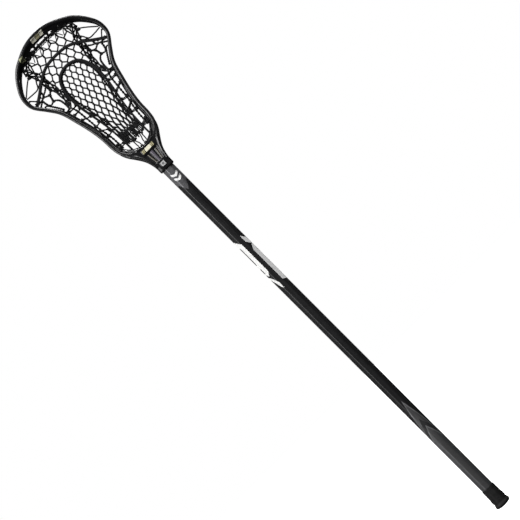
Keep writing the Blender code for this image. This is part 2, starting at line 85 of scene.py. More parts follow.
# Rim of the head, from the middle of the scoop down the right side to the bottom of the bowl.
# Each station: outer edge x and z, inner edge x and z, y of the front face, y of the rear face.
RIM_STATIONS = [
    (0.0, 1090.0, 0.0, 1069.0, -22.0, 1.0),
    (28.0, 1086.0, 25.0, 1067.5, -21.0, 2.0),
    (57.5, 1072.6, 51.4, 1062.3, -17.5, 4.0),
    (67.5, 1065.2, 60.8, 1057.1, -15.0, 6.0),
    (78.6, 1052.9, 71.2, 1047.7, -13.0, 8.5),
    (90.0, 1033.2, 82.9, 1030.9, -10.0, 12.0),
    (92.3, 1016.5, 85.3, 1016.5, -8.0, 15.0),
    (88.5, 1002.0, 82.0, 1005.7, -7.0, 18.0),
    (75.0, 983.7, 68.8, 989.2, -6.5, 21.0),
    (62.7, 964.3, 53.8, 967.8, -6.5, 24.0),
    (54.8, 937.0, 44.6, 939.5, -7.5, 27.0),
    (48.4, 910.0, 37.6, 912.2, -9.0, 28.5),
    (45.2, 888.0, 34.2, 889.0, -10.5, 28.5),
    (44.4, 867.0, 33.4, 866.0, -12.0, 27.5),
    (41.3, 850.0, 29.5, 856.0, -13.5, 25.5),
    (32.5, 836.5, 21.5, 846.3, -14.5, 23.0),
    (17.5, 827.0, 11.0, 840.2, -15.0, 21.0),
    (0.0, 824.0, 0.0, 836.8, -15.0, 20.0),
]
RAIL_WIDTH = 6.6
RAIL_HEIGHT = 5.5
RAIL_CHAMFER = 1.2
WEB_HALF = 1.3  # half the thickness of the web between the rails
SCOOP_BAR = 5.0  # width of the rear rail behind the middle of the scoop
SCOOP_BLEND = 60.0  # distance along the rim at which it is a full rail again
SECTION_STEP = 6.0  # longest distance between two cross-sections of the rim
CORNER_STEP = 1.1  # spacing of the two extra sections beside the end of each opening
WEB_SHARES = (0.0, 0.13, 0.50, 0.70, 0.87, 1.0)  # places of the web's points between the rails
WINDOW_CELLS = (1, 2, 3)  # cells of the web, from 0 at the front rail, that a window leaves open
SLOT_CELLS = (3, 4)  # and those that a slot in the scoop leaves open
# Openings and struts, by distance along the rim from the middle of the scoop.
SCOOP_SLOTS = [(0.0, 14.0), (19.5, 27.0)]
WINDOWS = [(81.0, 99.0), (108.0, 135.0), (144.0, 171.0), (180.0, 216.0), (225.0, 261.0), (270.0, 297.0)]
STRUTS = [76.5, 103.5, 139.5, 175.5, 220.5, 265.5, 301.5]
STRUT_LEAN = 5.0  # how far each end of a strut is shifted along the rim, in opposite ways
BOWL_REACH = 4.5  # how far up each side the bowl is cut out of the throat, in rim stations
BOWL_SHARE = 0.66  # where its edge runs between the rim's outer and inner edges
HEAD_VOXEL = 0.75  # size of the grid on which the head's parts are fused
HEAD_SMOOTHING = 6

# Throat: z, half width, y of the front, y of the back, corner radius.
THROAT_SECTIONS = [
    (856.0, 41.4, -2.0, 10.0, 3.0),
    (849.5, 40.8, -8.0, 15.5, 5.0),
    (843.0, 38.4, -12.0, 18.5, 6.0),
    (836.4, 34.8, -14.0, 19.5, 6.0),
    (829.8, 30.2, -14.8, 19.0, 6.0),
    (823.3, 25.8, -14.8, 18.2, 6.0),
    (816.7, 21.7, -14.7, 17.3, 6.0),
    (810.2, 18.5, -14.6, 16.5, 6.0),
    (803.6, 16.5, -14.5, 16.0, 6.0),
    (797.0, 15.0, -14.4, 15.6, 6.0),
    (790.5, 14.3, -14.2, 14.8, 6.0),
    (785.0, 14.2, -14.2, 14.3, 6.0),
    (782.5, 14.3, -14.3, 14.3, 6.0),
    (780.6, 13.7, -13.7, 13.7, 6.0),
]

# Pocket: z, depth in the middle, depth at the side, half width at which the side depth is reached.
POCKET_DEPTHS = [
    (1066.0, 4.5, 3.5, 50.0),
    (1045.0, 13.0, 8.0, 66.0),
    (1024.0, 21.0, 12.0, 80.0),
    (1006.0, 27.0, 16.0, 78.0),
    (990.0, 32.0, 19.0, 66.0),
    (972.0, 36.5, 22.0, 53.0),
    (955.0, 40.0, 25.0, 46.0),
    (935.0, 43.0, 28.0, 41.0),
    (915.0, 43.5, 29.5, 36.0),
    (895.0, 42.0, 29.5, 33.0),
    (875.0, 38.0, 28.5, 31.0),
    (850.0, 30.0, 25.5, 26.0),
]

# Net. Large cells from the scoop to the wings: z and column pitch of each row of knots.
UPPER_ROWS = [
    (1066.0, 16.5),
    (1054.8, 15.1),
    (1043.0, 14.3),
    (1030.8, 13.7),
    (1020.4, 13.1),
    (1009.8, 12.9),
    (1000.0, 12.6),
    (990.0, 12.2),
    (980.0, 12.0),
]
UPPER_ARCH = 0.0052  # drop of a row, per square mm of distance from the middle
UPPER_REACH = 7  # outermost column, in half pitches
# Small cells in the ball channel: z, column pitch in the middle, turn per column in degrees, sideways shift.
CHANNEL_STATIONS = [
    (1020.0, 10.7, 5.0, -0.4),
    (978.0, 10.1, 7.0, -1.0),
    (950.0, 10.4, 12.0, -1.6),
    (931.0, 10.4, 21.0, -2.2),
    (907.0, 8.9, 22.0, -2.4),
    (893.0, 7.6, 17.0, -1.4),
    (880.0, 6.0, 10.0, -0.4),
    (868.0, 5.6, 8.0, 0.0),
]
CHANNEL_TOP = 1018.0
CHANNEL_ROWS = 14
CHANNEL_GAP = 9.55  # between the first two rows
CHANNEL_GROWTH = 0.27  # how much longer each gap is than the one above
CHANNEL_REACH = 7
KNOT_HALF = 3.0
YARN_RADIUS = 1.22
YARN_SPREAD = 0.6  # how far each yarn runs from the middle of a knot
YARN_STEP = 1.3  # spacing of a yarn's points between knots
KNOT_STEPS = 10
FOOT_TOP = 876.0
FOOT_BOTTOM = 852.5
FOOT_HALF = 19.0
FOOT_LOOPS = 15
FOOT_YARN = 0.95

# Strings.
SHOOTING_LIFT = 5.6
CHANNEL_LIFT = 2.8
LACE_RADIUS = 2.65
WOVEN_CORD = 1.45  # radii of the thinner cords
LACING_CORD = 1.05
WING_CORD = 1.25
CORNER_CORD = 1.2
WEAVE_LENGTH = 66.0  # over which a cord of the woven edge goes to and fro once
WEAVE_WIDTHS = (5.8, 3.0)  # how far it goes to each side, at the top and at the bottom

# Routes on the right side, as (x, z) in the face; the two laces start in the middle.
SHOOTING_ROUTE = [
    (0.0, 1041.8),
    (20.0, 1040.3),
    (34.0, 1035.5),
    (48.0, 1027.0),
    (64.0, 1015.5),
    (78.0, 1006.0),
    (83.0, 1003.5),
]
CHANNEL_ROUTE = [
    (0.0, 1018.8),
    (16.0, 1015.0),
    (26.0, 1005.7),
    (32.0, 989.0),
    (33.0, 972.0),
    (31.0, 950.0),
    (27.5, 930.0),
    (24.0, 910.0),
    (21.5, 888.0),
    (20.3, 866.0),
    (19.9, 846.5),
]
CHANNEL_END = (20.3, 841.5)
EDGE_ROUTE = [
    (50.5, 1066.0),
    (53.5, 1053.0),
    (48.0, 1040.0),
    (45.2, 1025.0),
    (42.0, 1009.0),
    (39.6, 992.0),
    (40.5, 978.0),
    (46.0, 966.0),
]
EDGE_TIE = (53.0, 964.5)
LACING_ROUTE = [
    (43.5, 966.0),
    (39.5, 955.0),
    (37.5, 937.0),
    (36.3, 924.0),
    (35.5, 913.0),
    (33.0, 900.0),
    (31.0, 889.0),
    (29.6, 877.0),
    (29.0, 857.0),
]
WING_ROUTES = [
    [(43.0, 1005.0), (48.0, 1007.5), (53.0, 1004.0), (61.5, 1007.3), (69.0, 1006.5), (77.0, 1005.0)],
    [(53.0, 1004.0), (54.6, 998.0), (55.4, 992.8)],
    [(68.5, 1006.0), (68.0, 1000.0), (66.5, 993.5)],
    [(71.5, 995.0), (66.5, 993.0), (62.0, 990.2), (55.4, 992.8), (48.0, 987.3), (45.6, 978.0), (45.4, 967.0)],
    [(67.0, 992.5), (60.0, 982.0), (53.0, 970.5)],
    [(48.0, 1007.5), (47.0, 1013.0), (48.5, 1022.0)],
    [(61.5, 1007.3), (60.5, 1012.0), (60.0, 1017.5)],
    [(44.5, 1021.5), (54.0, 1014.0), (63.0, 1009.5), (72.0, 1003.0), (78.0, 999.0)],
]
CORNER_ROUTES = [
    [(53.5, 1049.5), (61.0, 1045.0), (70.0, 1038.2), (82.0, 1028.0)],
    [(83.5, 1024.0), (72.0, 1023.3), (60.0, 1024.3), (54.0, 1033.0), (48.5, 1041.0)],
    [(60.0, 1024.3), (53.0, 1027.5), (47.0, 1032.0)],
    [(84.0, 1019.5), (78.5, 1014.0), (73.0, 1008.0)],
]

# Where strings are tied: along the scoop's bar, at heights down the channel, and at points on the wing.
BAR_TIES = [9.0, 25.5, 40.5, 53.0]
TIE_HEIGHTS = [966.0, 951.0, 936.0, 913.0, 900.0, 888.0, 866.0, 858.0]
WING_TIES = [(83.0, 1026.0), (84.0, 1018.0), (76.5, 1005.5), (71.5, 995.0), (53.0, 969.5)]
WING_KNOTS = [(79.0, 1007.0), (74.0, 1009.5), (67.5, 1012.5), (53.0, 1004.0), (55.4, 992.8)]
# Knots on the woven edge: x, z, size.
EDGE_KNOTS = [(55.5, 1052.0, 2.6), (52.0, 1058.0, 2.2), (57.0, 1046.0, 1.9), (49.5, 1036.0, 1.8)]


# ---------------------------------------------------------------- shape functions


def smooth_curve(points, parameter, closed=False):
    """The point at a parameter, counted in points, on a Catmull-Rom curve through the points."""
    count = len(points)
    start = int(math.floor(parameter))
    if not closed:
        start = min(max(start, 0), count - 2)
    part = parameter - start
    corners = []
    for offset in (-1, 0, 1, 2):
        index = start + offset
        index = index % count if closed else min(max(index, 0), count - 1)
        corners.append(points[index])
    blended = []
    for before, first, second, after in zip(*corners):
        linear = second - before
        square = 2.0 * before - 5.0 * first + 4.0 * second - after
        cube = 3.0 * (first - second) + after - before
        blended.append(0.5 * (2.0 * first + part * (linear + part * (square + part * cube))))
    return blended


def between(first, second, share):
    """The value at a share of the way from one value to another."""
    return first + (second - first) * share


def ramp(value, ends, results):
    """A value carried from one range to another, and held at its ends."""
    return float(np.interp(value, ends, results))


def distances(points):
    """Distance travelled along a line of points, at each of them."""
    steps = np.linalg.norm(np.diff(points, axis=0), axis=1)
    return np.concatenate([[0.0], np.cumsum(steps)])


def even_points(points, spacing):
    """Points at an even spacing along the smooth curve through the given points."""
    per_span = 12
    count = (len(points) - 1) * per_span
    dense = np.array([smooth_curve(points, step / per_span) for step in range(count + 1)])
    travelled = distances(dense)
    total = max(2, round(travelled[-1] / spacing))
    wanted = np.linspace(0.0, travelled[-1], total + 1)
    return np.stack([np.interp(wanted, travelled, column) for column in dense.T], axis=1)


def from_table(table, height):
    """Values at a height, read smoothly from rows of (height, value, ...) that run downwards."""
    for index, (upper, lower) in enumerate(zip(table, table[1:])):
        if height >= lower[0] or index == len(table) - 2:
            part = (upper[0] - height) / (upper[0] - lower[0])
            return smooth_curve(table, index + min(max(part, 0.0), 1.0))[1:]


def rounded_outline(corner_centres, radius, steps, first_angle):
    """A closed outline, listed anticlockwise, with an equal share of a full turn about each centre."""
    outline = []
    turn = math.tau / len(corner_centres)
    for index, (x, y) in enumerate(corner_centres):
        for step in range(steps + 1):
            angle = first_angle + turn * (index + step / steps)
            outline.append((x + radius * math.cos(angle), y + radius * math.sin(angle)))
    return outline


def angles_round(sides):
    """Evenly spread angles of a full turn."""
    return [math.tau * side / sides for side in range(sides)]


def octagon(half_flats, corner, steps=8):
    """Outline of an octagon with a flat on each axis and rounded corners."""
    reach = (half_flats - corner) / math.cos(math.pi / 8.0)
    angles = [math.pi / 8.0 + angle for angle in angles_round(8)]
    centres = [(reach * math.cos(angle), reach * math.sin(angle)) for angle in angles]
    return rounded_outline(centres, corner, steps, 0.0)


def rounded_box(half_width, front, back, corner, steps=6):
    """Outline of a rectangle with rounded corners."""
    x = half_width - corner
    centres = [(x, front + corner), (x, back - corner), (-x, back - corner), (-x, front + corner)]
    return rounded_outline(centres, corner, steps, -math.pi / 2.0)


def at_height(outline, z):
    """Lift a flat outline to a height."""
    return [(x, y, z) for x, y in outline]


def mirrored(route, side):
    """A route on the right-hand side for side 1, and on the left-hand side for side -1."""
    return [(side * x, z) for x, z in route]


def both_sides(route):
    """A route that starts in the middle, continued over the mirrored side."""
    return mirrored(route[:0:-1], -1.0) + route


def pocket_y(x, z):
    """Depth of the net at a place in the face: deepest in the middle, less towards the sides."""
    middle, side, reach = from_table(POCKET_DEPTHS, z)
    share = min(abs(x) / reach, 1.0)
    return middle - (middle - side) * share * share


# ---------------------------------------------------------------- meshes and pieces


def mesh_from(name, vertices, faces, sharp_degrees=None):
    """A smooth-shaded mesh in metres from vertices in millimetres, with its faces pointing out."""
    mesh = bpy.data.meshes.new(name)
    mesh.from_pydata([tuple(c * MM for c in vertex) for vertex in vertices], [], faces)
    builder = bmesh.new()
    builder.from_mesh(mesh)
    bmesh.ops.recalc_face_normals(builder, faces=builder.faces)
    builder.to_mesh(mesh)
    builder.free()
    mesh.shade_smooth()
    if sharp_degrees is not None:
        mesh.set_sharp_from_angle(angle=math.radians(sharp_degrees))
    return mesh


def helper(name, mesh):
    """An object that is only worked on, before it becomes a piece or is used up."""
    made = bpy.data.objects.new(name, mesh)
    bpy.context.scene.collection.objects.link(made)
    return made


def bake_modifiers(target):
    """Replace an object's mesh by what its modifiers make of it."""
    graph = bpy.context.evaluated_depsgraph_get()
    mesh = bpy.data.meshes.new_from_object(target.evaluated_get(graph))
    target.modifiers.clear()
    target.data = mesh
    return mesh


def cut_or_join(target, tools, operation, solver="EXACT"):
    """Boolean the helper objects into a target, and remove them."""
    for tool in tools:
        modifier = target.modifiers.new(tool.name, "BOOLEAN")
        modifier.operation = operation
        modifier.solver = solver
        modifier.object = tool
    bake_modifiers(target)
    for tool in tools:
        bpy.data.objects.remove(tool)


def finish_piece(made, surface, nodes=(), body=BODY):
    """Give a piece its material, let it ride on its body and stand for its CAD nodes."""
    made.data.materials.clear()
    made.data.materials.append(surface)
    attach(made, body)
    if nodes:
        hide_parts(*nodes)
    return made


def loft(loops, closed_ring=False):
    """Vertices and faces skinned over loops that all have the same number of points."""
    vertices = [point for loop in loops for point in loop]
    count = len(loops[0])
    faces = []
    for ring in range(len(loops) if closed_ring else len(loops) - 1):
        following = (ring + 1) % len(loops)
        for i in range(count):
            j = (i + 1) % count
            faces.append((ring * count + i, ring * count + j, following * count + j, following * count + i))
    if not closed_ring:
        faces.append(tuple(range(count)))
        faces.append(tuple(range((len(loops) - 1) * count, len(loops) * count)))
    return vertices, faces


def lofted(name, loops, sharp_degrees=None, closed_ring=False):
    """A helper object skinned over loops of points."""
    return helper(name, mesh_from(name, *loft(loops, closed_ring), sharp_degrees))


def circle(radius, y, x=0.0, z=0.0, sides=48):
    """A circle about an axis along Y."""
    return [(x + radius * math.cos(angle), y, z + radius * math.sin(angle)) for angle in angles_round(sides)]


def rod_along_y(name, stations, x, z, sides=48):
    """A helper object: a round rod on an axis along Y; each station is a y and a radius."""
    return lofted(name, [circle(radius, y, x, z, sides) for y, radius in stations])


def sheet_solid(front, back):
    """Vertices and faces of a thin closed sheet between two grids of points."""
    rows = len(front)
    columns = len(front[0])
    vertices = [point for row in front + back for point in row]
    shift = rows * columns
    faces = []
    for row in range(rows - 1):
        for column in range(columns - 1):
            a = row * columns + column
            b = a + columns
            faces.append((a, a + 1, b + 1, b))
            faces.append((shift + a, shift + b, shift + b + 1, shift + a + 1))
    rim = list(range(columns))
    rim += [row * columns + columns - 1 for row in range(1, rows)]
    rim += [(rows - 1) * columns + column for column in range(columns - 2, -1, -1)]
    rim += [row * columns for row in range(rows - 2, 0, -1)]
    for here, there in zip(rim, rim[1:] + rim[:1]):
        faces.append((here, there, shift + there, shift + here))
    return vertices, faces


ROUND_END = [(0.95, 0.3), (0.6, 0.8)]  # rings of a cord's end: reach past it and share of the radius


class Strands:
    """Round cords gathered in one mesh, with a UV map that holds turns round the cord and mm along it."""

    def __init__(self):
        self.vertices = []
        self.faces = []
        self.coordinates = []

    def add(self, points, radius, sides=8, relief=0.0, bumps=3, bump_length=3.0):
        """A cord along points, with round ends and, for a relief above 0, a braid raised on it."""
        points = np.array(points, float)
        count = len(points)
        directions = np.gradient(points, axis=0)
        directions /= np.linalg.norm(directions, axis=1)[:, None]
        along = distances(points)
        across = np.cross(directions[0], (0.0, 0.0, 1.0))
        if np.linalg.norm(across) < 0.1:
            across = np.cross(directions[0], (0.0, 1.0, 0.0))
        radii = np.broadcast_to(np.array(radius, float), (count,))
        # Rings of the cord and of its round ends: index of the point, reach past it, share of its radius.
        rings = [(0, -reach, share) for reach, share in ROUND_END]
        rings += [(index, 0.0, 1.0) for index in range(count)]
        rings += [(count - 1, reach, share) for reach, share in reversed(ROUND_END)]
        angles = np.arange(sides) * math.tau / sides
        start = len(self.vertices)
        for index, reach, share in rings:
            direction = directions[index]
            centre = points[index] + direction * radii[index] * reach
            across = across - direction * np.dot(across, direction)
            across /= np.linalg.norm(across)
            other = np.cross(direction, across)
            one_way = np.sin(bumps * angles + math.tau * along[index] / bump_length)
            other_way = np.sin(bumps * angles - math.tau * along[index] / bump_length)
            swell = radii[index] * share * (1.0 - relief + 2.0 * relief * np.abs(one_way * other_way))
            ring = centre + np.outer(np.cos(angles) * swell, across) + np.outer(np.sin(angles) * swell, other)
            self.vertices.extend(map(tuple, ring))
        for ring in range(len(rings) - 1):
            low, high = along[rings[ring][0]], along[rings[ring + 1][0]]
            a = start + ring * sides
            b = a + sides
            for i in range(sides):
                j = (i + 1) % sides
                self.faces.append((a + i, a + j, b + j, b + i))
                left, right = i / sides, (i + 1) / sides
                self.coordinates += [(left, low), (right, low), (right, high), (left, high)]
        last = start + (len(rings) - 1) * sides
        self.faces.append(tuple(start + i for i in reversed(range(sides))))
        self.faces.append(tuple(last + i for i in range(sides)))
        self.coordinates += [(i / sides, 0.0) for i in reversed(range(sides))]
        self.coordinates += [(i / sides, along[-1]) for i in range(sides)]

    def piece(self, name, surface, nodes=()):
        """The cords as a finished piece."""
        mesh = bpy.data.meshes.new(name)
        mesh.from_pydata([tuple(c * MM for c in vertex) for vertex in self.vertices], [], self.faces)
        layer = mesh.uv_layers.new(name="strand")
        layer.uv.foreach_set("vector", np.array(self.coordinates, np.float32).ravel())
        mesh.shade_smooth()
        return finish_piece(helper(name, mesh), surface, nodes)


# ---------------------------------------------------------------- materials


class Surface:
    """A Principled material; its methods add nodes and feed them to the shader.

    More of the shader's inputs can be given by name, with underscores for spaces.
    """

    def __init__(self, name, colour, roughness, metallic=0.0, **more):
        self.material = bpy.data.materials.new(name)
        self.material.use_nodes = True
        self.tree = self.material.node_tree
        self.inputs = self.tree.nodes["Principled BSDF"].inputs
        self.inputs["Base Color"].default_value = (*colour, 1.0)
        self.inputs["Roughness"].default_value = roughness
        self.inputs["Metallic"].default_value = metallic
        for key, value in more.items():
            self.inputs[key.replace("_", " ")].default_value = value

    def node(self, kind, values, **settings):
        """A node whose inputs are numbers, colours or other nodes' outputs."""
        made = self.tree.nodes.new("ShaderNode" + kind)
        for setting, value in settings.items():
            setattr(made, setting, value)
        for key, value in values.items():
            if isinstance(value, bpy.types.NodeSocket):
                self.tree.links.new(value, made.inputs[key])
            else:
                made.inputs[key].default_value = value
        return made.outputs

    def drive(self, key, value):
        """Feed a node's output to the shader."""
        self.tree.links.new(value, self.inputs[key])

    def noise(self, scale, detail, stretch=(1.0, 1.0, 1.0)):
        """Noise in the object's own coordinates; the scale is in features per metre."""
        place = self.node("TexCoord", {})["Object"]
        mapped = self.node("Mapping", {"Vector": place, "Scale": stretch})["Vector"]
        return self.node("TexNoise", {"Vector": mapped, "Scale": scale, "Detail": detail})["Fac"]

    def remap(self, value, low, high, new_low=0.0, new_high=1.0):
        """A value carried from one range to another, and held inside it."""
        ends = {"From Min": low, "From Max": high, "To Min": new_low, "To Max": new_high}
        return self.node("MapRange", {"Value": value, **ends})["Result"]

    def calculate(self, operation, *terms):
        """One Math node; each term is a number or another node's output."""
        return self.node("Math", dict(enumerate(terms)), operation=operation)["Value"]

    def colour_by(self, share, first, second):
        """Colour the surface between two colours, by a share from 0 to 1."""
        colours = {"Factor": share, "A": (*first, 1.0), "B": (*second, 1.0)}
        self.drive("Base Color", self.node("Mix", colours, data_type="RGBA")["Result"])

    def uneven_gloss(self, scale, detail, smooth, rough):
        """Let the roughness wander between two values."""
        self.drive("Roughness", self.remap(self.noise(scale, detail), 0.3, 0.7, smooth, rough))

    def raise_by(self, height, distance_mm, strength=1.0):
        """Raise the surface by a height from 0 to 1, over a distance in millimetres."""
        bump = {"Height": height, "Distance": distance_mm * MM, "Strength": strength}
        self.drive("Normal", self.node("Bump", bump)["Normal"])


def moulded_nylon():
    """Satin black nylon: fine moulding grain, uneven gloss and edges worn a little paler."""
    coat = {"Coat_Weight": 0.15, "Coat_Roughness": 0.18}
    made = Surface("moulded_nylon", (0.006, 0.006, 0.0065), 0.3, Specular_IOR_Level=0.4, **coat)
    worn = made.remap(made.node("NewGeometry", {})["Pointiness"], 0.53, 0.62)
    patches = made.remap(made.noise(60.0, 4.0), 0.35, 0.7)
    share = made.calculate("MULTIPLY", worn, patches)
    made.colour_by(share, (0.005, 0.005, 0.0055), (0.022, 0.021, 0.023))
    made.uneven_gloss(140.0, 5.0, 0.24, 0.33)
    made.raise_by(made.noise(2600.0, 3.0), 0.03, 0.35)
    return made.material


def coated_composite():
    """Soft black coating over fibre: long faint streaks along the shaft and a fine speckle."""
    made = Surface("coated_composite", (0.014, 0.014, 0.015), 0.36)
    streaks = made.remap(made.noise(300.0, 4.0, (1.0, 1.0, 0.02)), 0.35, 0.7)
    made.colour_by(streaks, (0.006, 0.006, 0.0065), (0.013, 0.013, 0.014))
    made.uneven_gloss(90.0, 5.0, 0.26, 0.34)
    made.raise_by(made.noise(1800.0, 3.0), 0.03, 0.3)
    return made.material


def grip_coating():
    """Raised grey-black grip print with a fine tooth."""
    made = Surface("grip_print", (0.035, 0.035, 0.036), 0.34, Specular_IOR_Level=0.9)
    speckle = made.remap(made.noise(1400.0, 2.0), 0.4, 0.65)
    made.colour_by(speckle, (0.022, 0.022, 0.023), (0.056, 0.056, 0.058))
    made.raise_by(made.noise(2400.0, 2.0), 0.04, 0.4)
    return made.material


def butt_rubber():
    """Matte moulded rubber with a pebbled skin and a dusty bloom."""
    made = Surface("butt_rubber", (0.007, 0.007, 0.007), 0.7, Specular_IOR_Level=0.25)
    dust = made.remap(made.noise(110.0, 5.0), 0.45, 0.75)
    made.colour_by(dust, (0.004, 0.004, 0.004), (0.010, 0.0095, 0.010))
    made.uneven_gloss(200.0, 3.0, 0.58, 0.78)
    made.raise_by(made.noise(1500.0, 2.0), 0.08, 0.6)
    return made.material


def oxide_steel():
    """Black-oxide steel, rubbed brighter on its edges."""
    made = Surface("oxide_steel", (0.05, 0.05, 0.052), 0.35, metallic=1.0)
    worn = made.remap(made.node("NewGeometry", {})["Pointiness"], 0.52, 0.6)
    made.colour_by(worn, (0.04, 0.04, 0.042), (0.22, 0.21, 0.2))
    made.uneven_gloss(900.0, 3.0, 0.28, 0.45)
    return made.material


def braided(name, pale, bumps, bump_length, roughness, depth):
    """Braided fibre: two sets of yarns crossing round the cord, smoother on their crowns; its colour is a
    painted highlight, paler on the crowns, and painted shade, darker in the grooves.
    """
    dark = (0.003, 0.003, 0.0035)
    made = Surface(name, dark, roughness, Specular_IOR_Level=0.25)
    strand = made.node("UVMap", {}, uv_map="strand")["UV"]
    split = made.node("SeparateXYZ", {"Vector": strand})
    turn = made.calculate("MULTIPLY", split["X"], math.tau * bumps)
    along = made.calculate("MULTIPLY", split["Y"], math.tau / bump_length)
    one_way = made.calculate("SINE", made.calculate("ADD", turn, along))
    other_way = made.calculate("SINE", made.calculate("SUBTRACT", turn, along))
    crowns = made.calculate("ABSOLUTE", made.calculate("MULTIPLY", one_way, other_way))
    fibres = made.remap(made.noise(5000.0, 2.0), 0.3, 0.7, -0.15, 0.15)
    height = made.calculate("ADD", crowns, fibres)
    # Painted highlight and shade: the colour runs from dark in the grooves between the yarns to pale on their
    # crowns.
    made.colour_by(made.remap(height, 0.1, 1.0), dark, pale)
    made.drive("Roughness", made.remap(height, 0.0, 1.0, roughness + 0.12, roughness - 0.08))
    made.raise_by(height, depth)
    return made.material


def printed_ink(name, colour, faded, roughness, metallic):
    """Screen-printed ink, a little uneven and rubbed thin in places."""
    made = Surface(name, colour, roughness, metallic)
    made.colour_by(made.remap(made.noise(420.0, 6.0), 0.52, 0.74), colour, faded)
    made.uneven_gloss(160.0, 3.0, roughness - 0.06, roughness + 0.08)
    made.raise_by(made.noise(2200.0, 2.0), 0.02, 0.3)
    return made.material


# ---------------------------------------------------------------- head


def rim_ring():
    """The stations of the whole rim: down the right side and up the mirrored left side."""
    left = [(-xo, zo, -xi, zi, front, rear) for xo, zo, xi, zi, front, rear in RIM_STATIONS[1:-1]]
    return RIM_STATIONS + left[::-1]


RING = rim_ring()


def rim_distances():
    """Distance along the outer edge of the rim, tabulated against the station parameter."""
    per_span = 16
    last = len(RIM_STATIONS) - 1
    parameters = np.arange(last * per_span + 1) / per_span
    edge = np.array([smooth_curve(RING, parameter, closed=True)[:2] for parameter in parameters])
    return distances(edge), parameters


RIM_TRAVEL, RIM_PARAMETERS = rim_distances()
RIM_HALF = float(RIM_TRAVEL[-1])


def rim_at(place):
    """The rim's values at a signed distance from the middle of the scoop, right side positive."""
    parameter = ramp(abs(place), RIM_TRAVEL, RIM_PARAMETERS)
    return smooth_curve(RING, math.copysign(parameter, place), closed=True)


def across_rim(values, share):
    """The point (x, z) at a share of the way in from the rim's outer edge to its inner edge."""
    x_out, z_out, x_in, z_in = values[:4]
    return between(x_out, x_in, share), between(z_out, z_in, share)


def rear_rail_width(place):
    """Width of the rear rail, which narrows to a bar behind the scoop."""
    return between(SCOOP_BAR, RAIL_WIDTH, min(abs(place) / SCOOP_BLEND, 1.0))


def strut_lean(place):
    """How far the web is sheared along the rim, so that the struts lean in turn both ways."""
    distance = abs(place)
    for index, (low, high) in enumerate(zip(STRUTS, STRUTS[1:])):
        if low < distance <= high:
            start = STRUT_LEAN if index % 2 == 0 else -STRUT_LEAN
            lean = start * (1.0 - 2.0 * (distance - low) / (high - low))
            return math.copysign(lean, lean * place)
    return 0.0


def wall_profile(depth, front, rear, rear_width):
    """Closed outline of the wall as (inward, y, lean share): two rails joined by a thin web."""
    front_middle = RAIL_WIDTH / 2.0
    rear_middle = depth - rear_width / 2.0
    front_root = front + RAIL_HEIGHT
    rear_root = rear - RAIL_HEIGHT
    cut = RAIL_CHAMFER
    web = []
    for share in WEB_SHARES:
        middle = between(front_middle, rear_middle, share)
        web.append((middle, between(front_root, rear_root, share), 2.0 * share - 1.0))
    front_rail = [
        (cut, front, 0),
        (RAIL_WIDTH - cut, front, 0),
        (RAIL_WIDTH, front + cut, 0),
        (RAIL_WIDTH, front_root - cut, 0),
    ]
    rear_rail = [
        (depth, rear_root + cut, 0),
        (depth, rear - cut, 0),
        (depth - cut, rear, 0),
        (depth - rear_width + cut, rear, 0),
        (depth - rear_width, rear - cut, 0),
        (depth - rear_width, rear_root + cut, 0),
    ]
    inner = [(middle + WEB_HALF, y, lean) for middle, y, lean in web]
    outer = [(middle - WEB_HALF, y, lean) for middle, y, lean in reversed(web)]
    return front_rail + inner + rear_rail + outer + [(0.0, front_root - cut, 0), (0.0, front + cut, 0)]


FIRST_INNER = 4  # index in the profile of the web's first point on its inner skin
LAST_OUTER = FIRST_INNER + 2 * len(WEB_SHARES) + 5  # and of the matching point on its outer skin


def rim_places():
    """Distances of the cross-sections round the whole rim, closer together at the ends of openings."""
    marks = {0.0, RIM_HALF}
    for opening in SCOOP_SLOTS + WINDOWS:
        for end in opening:
            marks.update((abs(end - CORNER_STEP), end, end + CORNER_STEP))
    marks = sorted(marks)
    places = [0.0]
    for low, high in zip(marks, marks[1:]):
        parts = max(1, math.ceil((high - low) / SECTION_STEP))
        places += [low + (high - low) * part / parts for part in range(1, parts + 1)]
    return places + [-place for place in places[-2:0:-1]]


def open_cells(place, following):
    """Which cells of the web are open between two neighbouring cross-sections."""
    middle = abs(place + following) / 2.0
    if any(low < middle < high for low, high in SCOOP_SLOTS):
        return SLOT_CELLS
    if any(low < middle < high for low, high in WINDOWS):
        return WINDOW_CELLS
    return ()


def slot_drop(place):
    """How far the upper edge of a scoop slot is shifted down: the middle slot is an arch."""
    share = abs(place) / SCOOP_SLOTS[0][1]
    return 0.4 + 0.6 * share * share if share < 1.2 else -0.2


def rim_section(place):
    """The points of the cross-section at a place."""
    x_out, z_out, x_in, z_in, front, rear = rim_at(place)
    depth = math.hypot(x_in - x_out, z_in - z_out)
    lean = strut_lean(place)
    slot_edge = 2.0 * WEB_SHARES[SLOT_CELLS[0]] - 1.0
    section = []
    for inward, y, leaning in wall_profile(depth, front, rear, rear_rail_width(place)):
        if leaning == slot_edge and abs(place) < SCOOP_SLOTS[-1][1] + SECTION_STEP:
            inward += slot_drop(place)
        x_out, z_out, x_in, z_in = rim_at(place + lean * leaning)[:4]
        across, down = x_in - x_out, z_in - z_out
        length = math.hypot(across, down)
        section.append((x_out + across * inward / length, y, z_out + down * inward / length))
    return section


